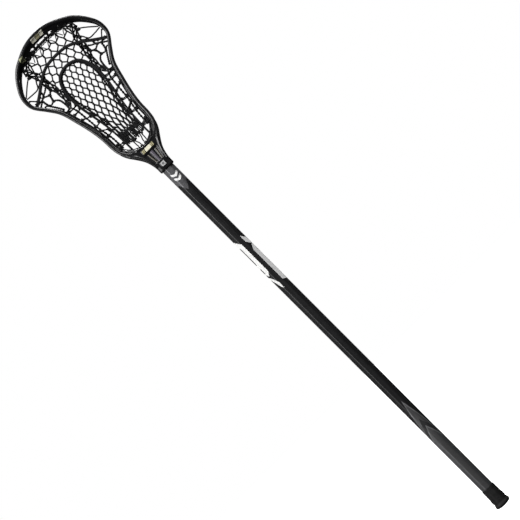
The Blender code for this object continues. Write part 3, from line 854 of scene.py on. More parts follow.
def rim_skin():
    """The rim as one closed skin, with its slots and windows left open."""
    places = rim_places()
    sections = [rim_section(place) for place in places]
    total = len(places)
    count = len(sections[0])
    vertices = [point for section in sections for point in section]
    following_places = places[1:] + places[:1]
    following_places[places.index(RIM_HALF)] = RIM_HALF  # the next section is the left side's first
    opened = [open_cells(here, there) for here, there in zip(places, following_places)]
    faces = []
    for index in range(total):
        ring = index * count
        following = (index + 1) % total * count
        skipped = set()
        for cell in opened[index]:
            skipped.add(FIRST_INNER + cell)
            skipped.add(LAST_OUTER - cell - 1)
        for i in range(count):
            if i not in skipped:
                j = (i + 1) % count
                faces.append((ring + i, ring + j, following + j, following + i))
        for cell in opened[index]:
            for point, neighbour in ((cell, cell - 1), (cell + 1, cell + 1)):
                if neighbour not in opened[index]:
                    inner, outer = FIRST_INNER + point, LAST_OUTER - point
                    faces.append((ring + inner, following + inner, following + outer, ring + outer))
            for end, neighbour in ((ring, opened[index - 1]), (following, opened[(index + 1) % total])):
                if cell not in neighbour:
                    inner, outer = FIRST_INNER + cell, LAST_OUTER - cell
                    faces.append((end + inner, end + inner + 1, end + outer - 1, end + outer))
    return vertices, faces


def throat_block():
    """The throat and socket as a solid, with the bowl cut out of it and a panel sunk in each face."""
    heights = np.linspace(THROAT_SECTIONS[0][0], THROAT_SECTIONS[-1][0], 40)
    loops = [at_height(rounded_box(*from_table(THROAT_SECTIONS, z)), z) for z in heights]
    block = lofted("throat_block", loops)
    start = len(RIM_STATIONS) - 1 - BOWL_REACH
    steps = 36
    outline = []
    for step in range(steps + 1):
        values = smooth_curve(RING, start + 2.0 * BOWL_REACH * step / steps, closed=True)
        outline.append(across_rim(values, BOWL_SHARE))
    cutters = [lofted("bowl", [[(x, y, z) for x, z in outline] for y in (-40.0, 45.0)])]
    for name, face, depth in (("front_panel", -14.7, 1.7), ("rear_panel", 17.4, 1.5)):
        cutters.append(sunk_panel(name, face, math.copysign(depth, -face)))
    cut_or_join(block, cutters, "DIFFERENCE")
    return block


def sunk_panel(name, face, depth):
    """A cutter for the tapered panel in a face of the throat, with sloping sides."""
    outline = [(8.6, 796.5), (12.6, 814.0), (13.6, 820.0), (-13.6, 820.0), (-12.6, 814.0), (-8.6, 796.5)]
    centre_z = 808.0
    loops = []
    for y, swell in ((face + depth, 0.88), (face - 4.0 * depth, 1.3)):
        loops.append([(x * swell, y, centre_z + (z - centre_z) * swell) for x, z in outline])
    return lofted(name, loops)


def bar_along(name, stations, height):
    """A helper object: a low rounded bar on the throat; each station is x, z, y and width."""
    loops = []
    for index, (x, z, y, width) in enumerate(stations):
        before, after = stations[max(index - 1, 0)], stations[min(index + 1, len(stations) - 1)]
        along = Vector((after[0] - before[0], after[1] - before[1])).normalized()
        loop = []
        for angle in angles_round(12):
            reach = width / 2.0 * math.cos(angle)
            loop.append((x + along.y * reach, y + height * math.sin(angle), z - along.x * reach))
        loops.append(loop)
    return lofted(name, loops)


# Bars down the right side of the throat: name, height, and stations of x, z, y and width.
THROAT_BARS = [
    ("side_rib", 1.2, [(8.2, 819.0, -13.0, 1.7), (5.6, 797.0, -13.0, 1.3)]),
    (
        "ridge",
        1.6,
        [
            (39.2, 858.0, -10.6, 2.4),
            (37.2, 846.5, -11.6, 5.0),
            (31.0, 836.0, -13.4, 6.0),
            (24.0, 827.5, -14.3, 5.4),
            (18.2, 817.0, -14.1, 4.6),
            (14.4, 806.0, -13.8, 4.0),
            (12.0, 792.0, -13.2, 2.4),
        ],
    ),
    ("lip_ridge", 1.2, [(26.5, 846.0, -12.2, 3.0), (19.5, 838.5, -14.0, 2.6), (13.5, 831.5, -14.6, 2.0)]),
    (
        "rear_ridge",
        1.5,
        [
            (33.0, 838.0, 19.0, 5.5),
            (25.0, 828.0, 17.6, 4.6),
            (18.0, 815.0, 16.2, 3.8),
            (13.0, 797.0, 14.6, 2.4),
        ],
    ),
]


def throat_details():
    """The ribs in the panel, the ridges that carry the rails down the throat, and the raised plaques."""
    made = [bar_along("centre_rib", [(0.0, 823.0, -13.2, 6.4), (0.0, 797.0, -13.2, 3.6)], 1.4)]
    for side in (-1.0, 1.0):
        for name, height, stations in THROAT_BARS:
            made.append(bar_along(name, [(side * x, z, y, width) for x, z, y, width in stations], height))
    lip = both_sides([(0.0, 831.4), (9.0, 832.2), (18.0, 834.6)])
    made.append(bar_along("lip", [(x, z, -14.9, 2.2) for x, z in lip], 1.1))
    made.append(plaque("label_plaque", 13.2, 822.2, 829.8, -14.7, 0.9))
    made.append(plaque("mark_plaque", 4.7, 786.4, 794.4, -14.2, 0.7))
    made.append(rod_along_y("screw_boss", [(10.0, 6.4), (15.4, 6.4), (16.0, 5.8)], 0.0, SCREW_HEIGHT))
    return made


def plaque(name, half_width, low, high, face, height):
    """A helper object: a raised plate with rounded corners on the front of the throat."""
    corner = 1.5
    x = half_width - corner
    top, bottom = high - corner, low + corner
    outline = rounded_outline([(x, top), (-x, top), (-x, bottom), (x, bottom)], corner, 4, 0.0)
    middle = (low + high) / 2.0
    loops = []
    for y, swell in ((face + 2.0, 1.0), (face - height * 0.5, 1.0), (face - height, 0.95)):
        loops.append([(x * swell, y, middle + (z - middle) * swell) for x, z in outline])
    return lofted(name, loops)


STRING_HOLE = 1.5  # radius
STRING_HOLES = [(40.5, 0.68), (53.0, 0.8)]  # holes for the net's outer ties: place, share of the way in


def string_holes():
    """Rods that cut the string holes in the scoop's ramp."""
    rods = []
    for place, share in STRING_HOLES:
        for side in (-1.0, 1.0):
            x, z = across_rim(rim_at(side * place), share)
            rods.append(rod_along_y("string_hole", [(-30.0, STRING_HOLE), (20.0, STRING_HOLE)], x, z, 20))
    return rods


def make_head(surface):
    """Rim and throat in one moulding, softened where they meet, with its bore and holes cut."""
    head = helper("head_moulding", mesh_from("head_moulding", *rim_skin()))
    rounding = head.modifiers.new("rounding", "SUBSURF")
    rounding.levels = rounding.render_levels = 2
    bake_modifiers(head)
    parts = [head, throat_block()] + throat_details()
    builder = bmesh.new()
    for part in parts:
        builder.from_mesh(part.data)
    for part in parts[1:]:
        bpy.data.objects.remove(part)
    builder.to_mesh(head.data)
    builder.free()
    fuse = head.modifiers.new("fuse", "REMESH")
    fuse.mode = "VOXEL"
    fuse.voxel_size = HEAD_VOXEL * MM
    soften = head.modifiers.new("soften", "SMOOTH")
    soften.factor = 0.5
    soften.iterations = HEAD_SMOOTHING
    bake_modifiers(head)
    bore = octagon(SHAFT_FLATS / 2.0 + GAP, SHAFT_CORNER + GAP)
    bore_loops = [at_height(bore, SOCKET_MOUTH - 5.0), at_height(bore, SOCKET_END)]
    seat = SCREW_SEAT_Y - GAP
    narrow, wide = SCREW_SHANK + GAP, SCREW_HEAD + GAP
    screw_hole = [(0.0, narrow), (seat, narrow), (seat, wide), (25.0, wide)]
    cutters = [
        lofted("bore", bore_loops),
        rod_along_y("screw_hole", screw_hole, 0.0, SCREW_HEIGHT),
    ]
    cut_or_join(head, cutters + string_holes(), "DIFFERENCE", "MANIFOLD")
    head.data.shade_smooth()
    head.data.set_sharp_from_angle(angle=math.radians(50.0))
    return finish_piece(head, surface, ["head_frame"])


def make_screw(surface):
    """Button-headed screw with a hexagon socket and a threaded shank."""
    loops = [circle(0.7, SCREW_TIP_Y), circle(SCREW_SHANK - 0.35, SCREW_TIP_Y + 0.8)]
    thread_pitch = 0.9
    y = SCREW_TIP_Y + 1.2
    while y < SCREW_SEAT_Y - 0.8:
        loops += [circle(SCREW_SHANK - 0.3, y), circle(SCREW_SHANK, y + thread_pitch / 2.0)]
        y += thread_pitch
    loops += [circle(SCREW_SHANK - 0.2, SCREW_SEAT_Y - 0.3), circle(SCREW_HEAD - 0.15, SCREW_SEAT_Y)]
    rim_y = SCREW_SEAT_Y + 0.3
    dome = SCREW_FACE_Y - SCREW_SEAT_Y - 0.3
    flat = 1.9
    for step in range(9):
        angle = math.pi / 2.0 * step / 9.0
        loops.append(circle(flat + (SCREW_HEAD - flat) * math.cos(angle), rim_y + dome * math.sin(angle)))
    hexagon_half = 1.25
    for depth, share in ((0.0, 1.12), (0.12, 1.0), (1.3, 1.0), (1.5, 0.8)):
        loop = []
        for angle in angles_round(48):
            off = (angle + math.pi / 6.0) % (math.pi / 3.0) - math.pi / 6.0
            reach = hexagon_half * share / math.cos(off)
            loop.append((reach * math.cos(angle), SCREW_FACE_Y - depth, reach * math.sin(angle)))
        loops.append(loop)
    lifted = [[(x, y, z + SCREW_HEIGHT) for x, y, z in loop] for loop in loops]
    screw = lofted("throat_screw", lifted, 40.0)
    return finish_piece(screw, surface, ["head_screw"])


def slanted_bars(left, right, count, slant, gap):
    """A row of slanted bars, each given as low left, low right, high left and high right x."""
    pitch = (right - left) / count
    bars = []
    for index in range(count):
        start = left + pitch * index
        end = start + pitch - gap
        bars.append((start, end, start + slant, end + slant))
    return bars


PRINT_CELLS = 8  # along each side of a mark on the head

# Plain marks on the head: name, ink, height off the surface, low z, high z, and the shapes. The plum and
# bronze films on the throat's ribs are painted highlights on the rib faces.
HEAD_PRINTS = [
    # The wide bars use cream, an ivory print brightened as painted light for the scoop ramp's shade.
    ("scoop_wide_bars", "cream", 0.16, 1078.8, 1084.6, [(-13.5, -4.6, -12.0, -3.1), (4.4, 11.6, 5.9, 13.1)]),
    ("scoop_bars", "brass", 0.16, 1078.8, 1084.6, slanted_bars(-3.8, 4.0, 3, 1.5, 0.7)),
    ("scoop_side_bars", "olive", 0.16, 1068.4, 1076.0, slanted_bars(-49.0, -39.5, 3, 1.0, 0.5)),
    ("throat_wide_bar", "ivory", 0.16, 822.6, 828.8, [(-6.4, 5.6, -5.5, 6.5)]),
    (
        "throat_bars",
        "gold",
        0.16,
        822.6,
        828.8,
        slanted_bars(-12.6, -7.0, 2, 0.9, 0.6) + slanted_bars(6.2, 12.0, 2, 0.9, 0.6),
    ),
    # Painted highlights: plum and bronze films laid over the faces of the centre rib and the side ribs.
    ("throat_rib_painted_highlight", "plum", 0.16, 797.0, 818.5, [(-1.7, 1.7, -2.9, 2.9)]),
    ("throat_side_rib_painted_highlights", "bronze", 0.16, 798.0, 817.5, [(-5.2, -6.2, -7.7, -8.9), (5.2, 6.2, 7.7, 8.9)]),
    ("socket_square", "silver", 0.16, 786.6, 793.8, [(-3.9, 3.9, -3.9, 3.9)]),
    ("socket_spot", "steel", 0.28, 788.8, 792.2, [(-1.9, 1.9, -1.9, 1.9)]),
]


def laid_shape(tree, lift, low, high, shape):
    """A thin closed sheet on the front of the head, with four slanted or upright sides."""
    low_left, low_right, high_left, high_right = shape
    shares = np.linspace(0.0, 1.0, PRINT_CELLS + 1)
    front, back = [], []
    for up in shares:
        z = between(low, high, up)
        left, right = between(low_left, high_left, up), between(low_right, high_right, up)
        xs = [between(left, right, across) for across in shares]
        hits = [tree.ray_cast(Vector((x * MM, -0.06, z * MM)), Vector((0.0, 1.0, 0.0)))[0] for x in xs]
        front.append([(x, hit.y / MM - lift, z) for x, hit in zip(xs, hits)])
        back.append([(x, hit.y / MM + 0.05, z) for x, hit in zip(xs, hits)])
    return sheet_solid(front, back)


def make_head_prints(head, inks):
    """Plain bars and blocks on the scoop and the throat, and painted highlights on the throat's ribs."""
    tree = BVHTree.FromPolygons([v.co for v in head.data.vertices], [p.vertices for p in head.data.polygons])
    for name, ink, lift, low, high, shapes in HEAD_PRINTS:
        vertices, faces = [], []
        for shape in shapes:
            more_vertices, more_faces = laid_shape(tree, lift, low, high, shape)
            faces += [tuple(index + len(vertices) for index in face) for face in more_faces]
            vertices += more_vertices
        finish_piece(helper(name, mesh_from(name, vertices, faces, 60.0)), inks[ink])


# ---------------------------------------------------------------- shaft and cap


def make_shaft(surface):
    """Hollow eight-sided shaft with softly rounded edges and bare ends."""
    coated = octagon(SHAFT_FLATS / 2.0, SHAFT_CORNER)
    bare = octagon(SHAFT_FLATS / 2.0 - COATING, SHAFT_CORNER)
    inner = octagon(SHAFT_FLATS / 2.0 - SHAFT_WALL, SHAFT_CORNER - SHAFT_WALL / 2.0)
    low = CAP_TOP + COATING_GAP
    high = SOCKET_MOUTH - COATING_GAP
    loops = [at_height(bare, SHAFT_BOTTOM), at_height(bare, low)]
    loops += [at_height(coated, z) for z in np.linspace(low, high, 61)]
    loops += [at_height(bare, high), at_height(bare, SHAFT_TOP)]
    loops += [at_height(inner, SHAFT_TOP), at_height(inner, SHAFT_BOTTOM)]
    shaft = lofted("shaft_tube", loops, closed_ring=True)
    hole = [(0.0, SCREW_SHANK + GAP), (20.0, SCREW_SHANK + GAP)]
    cut_or_join(shaft, [rod_along_y("shaft_hole", hole, 0.0, SCREW_HEIGHT)], "DIFFERENCE")
    shaft.data.set_sharp_from_angle(angle=math.radians(40.0))
    return finish_piece(shaft, surface, ["shaft"])


def around_shaft():
    """The shaft's outline from the middle of its front: distance to the right, x, y and the way out."""
    outline = np.array(octagon(SHAFT_FLATS / 2.0, SHAFT_CORNER))
    middle = np.array([(0.0, -SHAFT_FLATS / 2.0)])
    angles = np.mod(np.arctan2(outline[:, 1], outline[:, 0]) + math.pi / 2.0, math.tau)
    ring = np.concatenate([middle, outline[np.argsort(angles, kind="stable")], middle])
    apart = np.linalg.norm(np.diff(ring, axis=0), axis=1) > 1e-6
    ring = ring[np.concatenate([[True], apart])]
    travelled = distances(ring)
    ways = np.gradient(ring, travelled, axis=0)
    return travelled, ring, np.stack([ways[:, 1], -ways[:, 0]], axis=1)


SHAFT_TRAVEL, SHAFT_RING, SHAFT_WAYS = around_shaft()
SHAFT_ROUND = float(SHAFT_TRAVEL[-1])


def on_shaft(distance, z, lift):
    """A point on the shaft, at a distance to the right round it from the middle of its front."""
    place = distance % SHAFT_ROUND
    x, y = (np.interp(place, SHAFT_TRAVEL, SHAFT_RING[:, axis]) for axis in (0, 1))
    way = np.array([np.interp(place, SHAFT_TRAVEL, SHAFT_WAYS[:, axis]) for axis in (0, 1)])
    way /= np.linalg.norm(way)
    return (x + way[0] * lift, y + way[1] * lift, z)


def shaft_film(name, low_edge, high_edge, surface, thickness=0.12, ridges=0.0):
    """A printed film on the shaft between two edges, each a list of (distance round it, z)."""
    marks = {point[0] for point in low_edge + high_edge}
    left, right = min(marks), max(marks)
    places = np.concatenate([sorted(marks), np.arange(left, right, FILM_STEP)])
    places = np.unique(np.round(places, 3))
    lows = np.interp(places, *zip(*low_edge))
    highs = np.interp(places, *zip(*high_edge))
    row_height = RIDGE_PITCH / 5.0 if ridges else 3.0
    rows = int(max(2, (max(highs) - min(lows)) / row_height))
    front, back = [], []
    for row in range(rows + 1):
        share = row / rows
        heights = lows + (highs - lows) * share
        lifts = thickness + ridges * np.maximum(0.0, np.cos(heights * math.tau / RIDGE_PITCH))
        front.append([on_shaft(place, z, lift) for place, z, lift in zip(places, heights, lifts)])
        back.append([on_shaft(place, z, 0.0) for place, z in zip(places, heights)])
    film = helper(name, mesh_from(name, *sheet_solid(front, back), 60.0))
    return finish_piece(film, surface)


def raised(edge, rise):
    """An edge moved up the shaft."""
    return [(place, z + rise) for place, z in edge]


# Long side blocks with notched ends: name, ink, low edge and high edge.
SIDE_PRINTS = [
    (
        "left_tail",
        "white",
        [(-13.5, 531.0), (-9.5, 520.0), (-6.6, 511.0), (-3.4, 507.0)],
        [(-13.5, 536.0), (-9.9, 531.5), (-6.6, 526.5), (-3.4, 519.0)],
    ),
    (
        "left_block",
        "white",
        [(-11.6, 538.5), (-9.9, 536.5), (-3.4, 544.0)],
        [(-11.6, 614.0), (-8.8, 612.0), (-3.4, 606.0)],
    ),
    ("left_tab_1", "white", [(-15.0, 541.0), (-11.6, 541.0)], [(-15.0, 544.0), (-11.6, 544.0)]),
    ("left_tab_2", "white", [(-15.0, 555.0), (-11.6, 555.0)], [(-15.0, 564.0), (-11.6, 564.0)]),
    ("left_tab_3", "white", [(-15.0, 602.0), (-11.6, 602.0)], [(-15.0, 616.0), (-11.6, 616.0)]),
    # The right-hand block and tail are the same white print in the greyer pale ink: painted shade for the
    # shaft's less-lit right side.
    ("right_block", "pale", [(4.7, 519.0), (13.2, 515.0)], [(4.7, 587.0), (10.8, 595.0), (13.2, 596.4)]),
    (
        "right_tail",
        "pale",
        [(4.7, 604.0), (10.8, 598.0), (13.2, 596.8)],
        [(4.7, 618.0), (10.8, 611.5), (13.2, 609.5)],
    ),
]


def make_prints(inks):
    """The plain graphics on the shaft and the grip print on its lower part."""
    half = SHAFT_ROUND / 2.0 - 0.2
    # Collar band below the head, with a pointed lower edge on the front.
    band_low = [(-half, 746.0), (-9.0, 746.0), (0.0, 731.0), (9.0, 746.0), (half, 746.0)]
    shaft_film("collar_band", band_low, [(-half, 779.4), (half, 779.4)], inks["grey"])
    # Two stacked chevrons on the collar band.
    for index, z in enumerate((751.5, 760.0)):
        low = [(-6.4, z + 4.2), (0.6, z), (7.6, z + 4.2)]
        shaft_film("chevron_%d" % (index + 1), low, raised(low, 4.3), inks["white"], thickness=0.2)
    for name, ink, low, high in SIDE_PRINTS:
        shaft_film(name, low, high, inks[ink])
    # Grip print: a tall point with a pale edge, and two smaller points inside it.
    bottom = CAP_TOP + 2.0
    tall_point = both_sides([(0.0, 241.0), (8.5, 196.0), (13.0, 168.0), (half, 150.0)])
    low_point = both_sides([(0.0, 185.0), (11.5, 156.0)])
    grip_low = [(-half, bottom), (half, bottom)]
    shaft_film("grip_print", grip_low, tall_point, grip_coating(), thickness=0.18, ridges=0.12)
    pale_edge = tall_point[1:-1]
    shaft_film("grip_edge", raised(pale_edge, -8.0), pale_edge, inks["steel"], thickness=0.36)
    shaft_film("grip_dark_point", low_point, raised(low_point, 14.0), inks["dark"], thickness=0.36)
    shaft_film("grip_pale_point", raised(low_point, -4.5), low_point, inks["steel"], thickness=0.36)


def cap_outside():
    """Outside of the cap, upwards: z, half of the width, corner radius; its end is round."""
    bore = SHAFT_FLATS / 2.0 + GAP
    return [
        (0.0, 9.5, 8.5),
        (0.6, 11.8, 10.8),
        (1.8, 13.5, 12.5),
        (3.6, 14.4, 13.4),
        (5.6, 14.4, 13.4),
        (7.4, 13.6, 11.5),
        (9.0, 12.9, 8.0),
        (14.0, 12.7, 5.0),
        (CAP_TOP - 1.0, bore + 0.9, 3.0),
        (CAP_TOP, bore + 0.6, 2.8),
    ]


def make_cap(surface):
    """Rubber butt cap with a flared end, a sleeve with grip ribs, and raised triangles round it."""
    profile = cap_outside()
    loops = []
    for index in range(len(profile) - 1):
        steps = max(2, round((profile[index + 1][0] - profile[index][0]) / 0.7))
        for step in range(steps):
            loops.append(cap_ring(*smooth_curve(profile, index + step / steps)))
    loops.append(cap_ring(*profile[-1]))
    bore = octagon(SHAFT_FLATS / 2.0 + GAP, SHAFT_CORNER + GAP)
    floor = SHAFT_BOTTOM - GAP
    bore_heights = (CAP_TOP, CAP_TOP - 0.5, (CAP_TOP + floor) / 2.0, floor + 0.5, floor)
    loops += [at_height(bore, z) for z in bore_heights]
    cap = lofted("butt_cap_rubber", loops)
    cut_or_join(cap, cap_triangles(), "UNION")
    cap.data.shade_smooth()
    cap.data.set_sharp_from_angle(angle=math.radians(45.0))
    return finish_piece(cap, surface, ["butt_cap"], CAP_BODY)


def cap_ring(z, half, corner):
    """One ring of the cap, with three shallow grooves near its mouth."""
    groove = 0.0
    for middle in (CAP_TOP - 4.0, CAP_TOP - 6.5, CAP_TOP - 9.0):
        groove = max(groove, 0.35 * max(0.0, 1.0 - abs(z - middle) / 0.8))
    return at_height(octagon(half - groove, corner), z)


def cap_triangles():
    """Helper objects: raised triangles on the flats of the sleeve, pointing up and down in turn."""
    made = []
    for angle in angles_round(8):
        across = Vector((-math.sin(angle), math.cos(angle), 0.0))
        out = Vector((math.cos(angle), math.sin(angle), 0.0))
        for middle, way in ((13.0, 1.0), (18.2, -1.0)):
            loops = []
            for reach, size in ((11.0, 2.5), (12.95, 2.5), (13.25, 2.1)):
                loop = []
                for turn in angles_round(3):
                    side = across * (size * math.sin(turn))
                    height = Vector((0.0, 0.0, middle + way * size * math.cos(turn)))
                    loop.append(tuple(out * reach + side + height))
                loops.append(loop)
            made.append(lofted("triangle", loops))
    return made


# ---------------------------------------------------------------- net and strings

CHANNEL_LINE = even_points(CHANNEL_ROUTE, 3.0)
EDGE_LINE = even_points(EDGE_ROUTE, 3.0)


def half_width(line, z):
    """Half width at a height, inside a line that runs down the right side."""
    return ramp(-z, -line[:, 1], line[:, 0])


def bar_at(x):
    """The scoop's rear bar at an x: z of its inner edge and y of its middle."""
    _, _, inner_x, inner_z, _, rear = zip(*RIM_STATIONS[:5])
    return ramp(abs(x), inner_x, inner_z), ramp(abs(x), inner_x, rear) - RAIL_HEIGHT / 2.0


def net_y(x, z):
    """Depth of the net, which comes forward to the bar where it is tied to it."""
    z_bar, y_bar = bar_at(x)
    share = min(max((z_bar - z) / 14.0, 0.0), 1.0)
    share = share * share * (3.0 - 2.0 * share)
    return between(y_bar, pocket_y(x, z), share)


def upper_knot(row, half_column):
    """Place of a knot in the large cells; the top row hangs just under the bar."""
    z, pitch = UPPER_ROWS[row]
    x = pitch * half_column / 2.0
    if row == 0:
        return x, bar_at(x)[0] - 5.0
    return x, z - UPPER_ARCH * x * x


def channel_knot(row, half_column):
    """Place of a knot in the small cells, whose columns crowd together towards the sides."""
    z = CHANNEL_TOP - CHANNEL_GAP * row - CHANNEL_GROWTH * row * (row - 1) / 2.0
    pitch, turn, shift = from_table(CHANNEL_STATIONS, z)
    turn = math.radians(turn)
    return pitch / math.sin(turn) * math.sin(turn * half_column / 2.0) + shift, z


def zigzag(knot_at, rows, column):
    """Path (x, offset in y, z) of a yarn that runs down between two half columns of knots.

    In each knot it makes one turn round its neighbour, and then goes back to its own side.
    """
    path = []
    for row in range(rows):
        own = (column + row + 1) % 2 == 0
        side = 1.0 if own else -1.0
        x, z = knot_at(row, column if own else column + 1)
        start = (x + side * YARN_SPREAD, 0.0, z + KNOT_HALF)
        if path:
            leaving = np.array(path[-1])
            gap = np.array(start) - leaving
            parts = max(2, int(np.linalg.norm(gap) / YARN_STEP))
            path += [tuple(leaving + gap * part / parts) for part in range(1, parts)]
        for step in range(KNOT_STEPS + 1):
            angle = math.tau * step / KNOT_STEPS
            across, deep = side * YARN_SPREAD * math.cos(angle), side * YARN_SPREAD * math.sin(angle)
            path.append((x + across, deep, z + KNOT_HALF * (1.0 - 2.0 * step / KNOT_STEPS)))
    return path


def runs_inside(path, inside):
    """The stretches of a path that lie inside a region, carried back to the net's depth."""
    runs = [[]]
    for x, offset, z in path:
        if inside(x, z):
            runs[-1].append((x, net_y(x, z) + offset, z))
        elif runs[-1]:
            runs.append([])
    return [run for run in runs if len(run) > 3]


def make_net(yarn_surface):
    """The knitted net: large cells above, small cells in the channel, and the gathered foot."""
    yarn = Strands()

    def above(x, z):
        past_channel = z > CHANNEL_LINE[0, 1] or abs(x) > half_width(CHANNEL_LINE, z)
        return past_channel and abs(x) < half_width(EDGE_LINE, z)

    def channel(x, z):
        return z < CHANNEL_LINE[0, 1] and abs(x) < half_width(CHANNEL_LINE, z)

    for column in range(-UPPER_REACH, UPPER_REACH):
        for run in runs_inside(zigzag(upper_knot, len(UPPER_ROWS), column), above):
            yarn.add(run, 1.04 * YARN_RADIUS)
    for column in range(-CHANNEL_REACH, CHANNEL_REACH):
        for run in runs_inside(zigzag(channel_knot, CHANNEL_ROWS, column), channel):
            yarn.add(run, [ramp(z, (940.0, 1010.0), (1.16, 0.98)) * YARN_RADIUS for _, _, z in run])
    add_foot(yarn)
    return yarn.piece("net", yarn_surface, ["pocket_mesh"])


def add_foot(yarn):
    """The foot of the net: its last rows gathered into a row of loops, laced across twice."""
    draw = random.Random(11)
    heights = (FOOT_TOP, 870.0, 864.0, 858.0)
    for index in range(FOOT_LOOPS):
        x = -FOOT_HALF + 2.0 * FOOT_HALF * index / (FOOT_LOOPS - 1)
        low = FOOT_BOTTOM + draw.uniform(-1.5, 3.5)
        width = draw.uniform(0.5, 1.1)
        points = []
        for side, run in ((-1.0, heights), (1.0, heights[::-1])):
            for z in run:
                share = (z - low) / (FOOT_TOP - low)
                where = x * (1.0 + 0.06 * share) + side * width + draw.uniform(-0.7, 0.7)
                points.append((where, net_y(where, z) + draw.uniform(-1.3, 1.3), z))
            if side < 0.0:
                points.append((x + draw.uniform(-0.5, 0.5), net_y(x, low), low))
        yarn.add(even_points(points, 1.2), FOOT_YARN)
    for z, phase in ((868.5, 0.0), (859.0, math.pi)):
        points = []
        for x in (FOOT_HALF + 1.5) * np.linspace(-1.0, 1.0, 60):
            depth = net_y(x, z) + 1.9 * math.sin(phase + x * 1.3)
            points.append((x, depth, z + 0.8 * math.sin(0.31 * x)))
        yarn.add(points, 0.9)


def rail_section(place):
    """Middle of the rear rail at a place on the rim, and its inward and along directions."""
    x_out, z_out, x_in, z_in, _, rear = rim_at(place)
    inward = Vector((x_in - x_out, 0.0, z_in - z_out))
    depth = inward.length
    inward.normalize()
    reach = depth - rear_rail_width(place) / 2.0
    middle = Vector((x_out, rear - RAIL_HEIGHT / 2.0, z_out)) + inward * reach
    return middle, inward, Vector((inward.z, 0.0, -inward.x))


def wrap_rail(strands, place, radius, turns, pitch, through=False):
    """Wind a cord round the rear rail, or through a hole in the rail's middle, at a place on the rim."""
    middle, inward, along = rail_section(place)
    reach_in = rear_rail_width(place) / 2.0 + radius + 0.1
    if through:
        reach_in -= rear_rail_width(place) / 4.0
        middle = middle + inward * (rear_rail_width(place) / 4.0)
    reach_y = RAIL_HEIGHT / 2.0 + radius + 0.1
    points = []
    steps = int(turns * 20)
    for step in range(steps + 1):
        share = step / steps - 0.5
        cosine, sine = math.cos(math.tau * turns * share), math.sin(math.tau * turns * share)
        # A rounded square: the sine and cosine are pushed out towards its corners.
        push = (abs(cosine) ** 4 + abs(sine) ** 4) ** -0.25
        point = middle + inward * (reach_in * cosine * push) + Vector((0.0, reach_y * sine * push, 0.0))
        points.append(tuple(point + along * (pitch * turns * share)))
    strands.add(points, radius)


def nearest_place(x, z, low, high):
    """The place on the right-hand rim, between two distances, that lies nearest to a point."""

    def distance(place):
        middle = rail_section(place)[0]
        return math.hypot(middle.x - x, middle.z - z)

    return min([low + (high - low) * step / 40.0 for step in range(41)], key=distance)


def add_knot(strands, x, z, radius, lift, size):
    """A small overhand knot: a cord wound twice and a half round itself."""
    y = net_y(x, z) - lift
    points = []
    for step in range(33):
        angle = math.tau * 2.5 * step / 32.0
        height = z + 2.2 * (step / 16.0 - 1.0)
        points.append((x + size * math.cos(angle), y + size * math.sin(angle) * 0.9, height))
    strands.add(points, radius)


def add_woven_edge(strands, route, side):
    """Four cords that weave to and fro along a route, closer together lower down."""
    line = even_points(route, 1.2)
    travelled = distances(line)
    for index in range(4):
        phase = math.tau * index / 4.0 + 0.5
        points = []
        for (x, z), place in zip(line, travelled):
            width = between(*WEAVE_WIDTHS, place / travelled[-1])
            angle = phase + math.tau * place / WEAVE_LENGTH
            across = x - 1.5 + width * math.sin(angle)
            points.append((side * across, net_y(x, z) - 1.2 + 1.9 * math.cos(angle * 2.0 + phase), z))
        strands.add(points, WOVEN_CORD)


def add_twisted(strands, route, lift, radius, spread, twist_length):
    """Two cords twisted loosely together along a route on the net."""
    line = even_points(route, 1.2)
    for phase in (0.0, math.pi):
        points = []
        for (x, z), place in zip(line, distances(line)):
            angle = phase + math.tau * place / twist_length
            points.append((x + spread * math.cos(angle), net_y(x, z) - lift + spread * math.sin(angle), z))
        strands.add(points, radius)


def add_single(strands, route, lift, radius):
    """One cord along a route on the net."""
    strands.add([(x, net_y(x, z) - lift, z) for x, z in even_points(route, 1.5)], radius)


def side_name(name, side):
    """The name of a piece on one side."""
    return name + ("_left" if side < 0.0 else "_right")


def make_sidewall_string(side, surface):
    """Cords that edge the net above the channel, then zigzag between the lace and the rail."""
    cords = Strands()
    add_woven_edge(cords, EDGE_ROUTE + [EDGE_TIE], side)
    for x, z, size in EDGE_KNOTS:
        add_knot(cords, side * x, z, radius=1.15, lift=1.5, size=size)
    lacing = mirrored(LACING_ROUTE, side)
    add_twisted(cords, lacing, lift=0.6, radius=LACING_CORD, spread=1.0, twist_length=11.0)
    for index, z in enumerate(TIE_HEIGHTS):
        place = side * nearest_place(45.0, z, 144.0, RIM_HALF - 22.0)
        slant = 4.0 if index % 2 else -3.0
        half = half_width(CHANNEL_LINE, z + slant)
        add_knot(cords, side * (half + 2.2), z + slant, radius=1.0, lift=0.6, size=1.3)
        for offset in (-1.1, 1.1):
            lace = Vector((side * (half - 1.5), net_y(half, z) - 0.4 - offset, z + slant + offset))
            tie_to_rail(cords, lace, place, offset)
        wrap_rail(cords, place, radius=1.1, turns=2.0, pitch=2.3, through=True)
    node = side_name("sidewall_string", side)
    return cords.piece(side_name("sidewall_cords", side), surface, [node])


def tie_to_rail(cords, lace, place, offset):
    """A cord from the channel lace to the inner side of the rear rail."""
    middle, inward, along = rail_section(place)
    reach = rear_rail_width(place) / 2.0 + 0.8
    end = middle + inward * reach + Vector((0.0, 1.5, 0.0)) + along * offset
    bend = (lace + end) / 2.0 + Vector((0.0, 1.0, -0.8))
    cords.add(even_points([tuple(lace), tuple(bend), tuple(end)], 1.5), LACING_CORD)


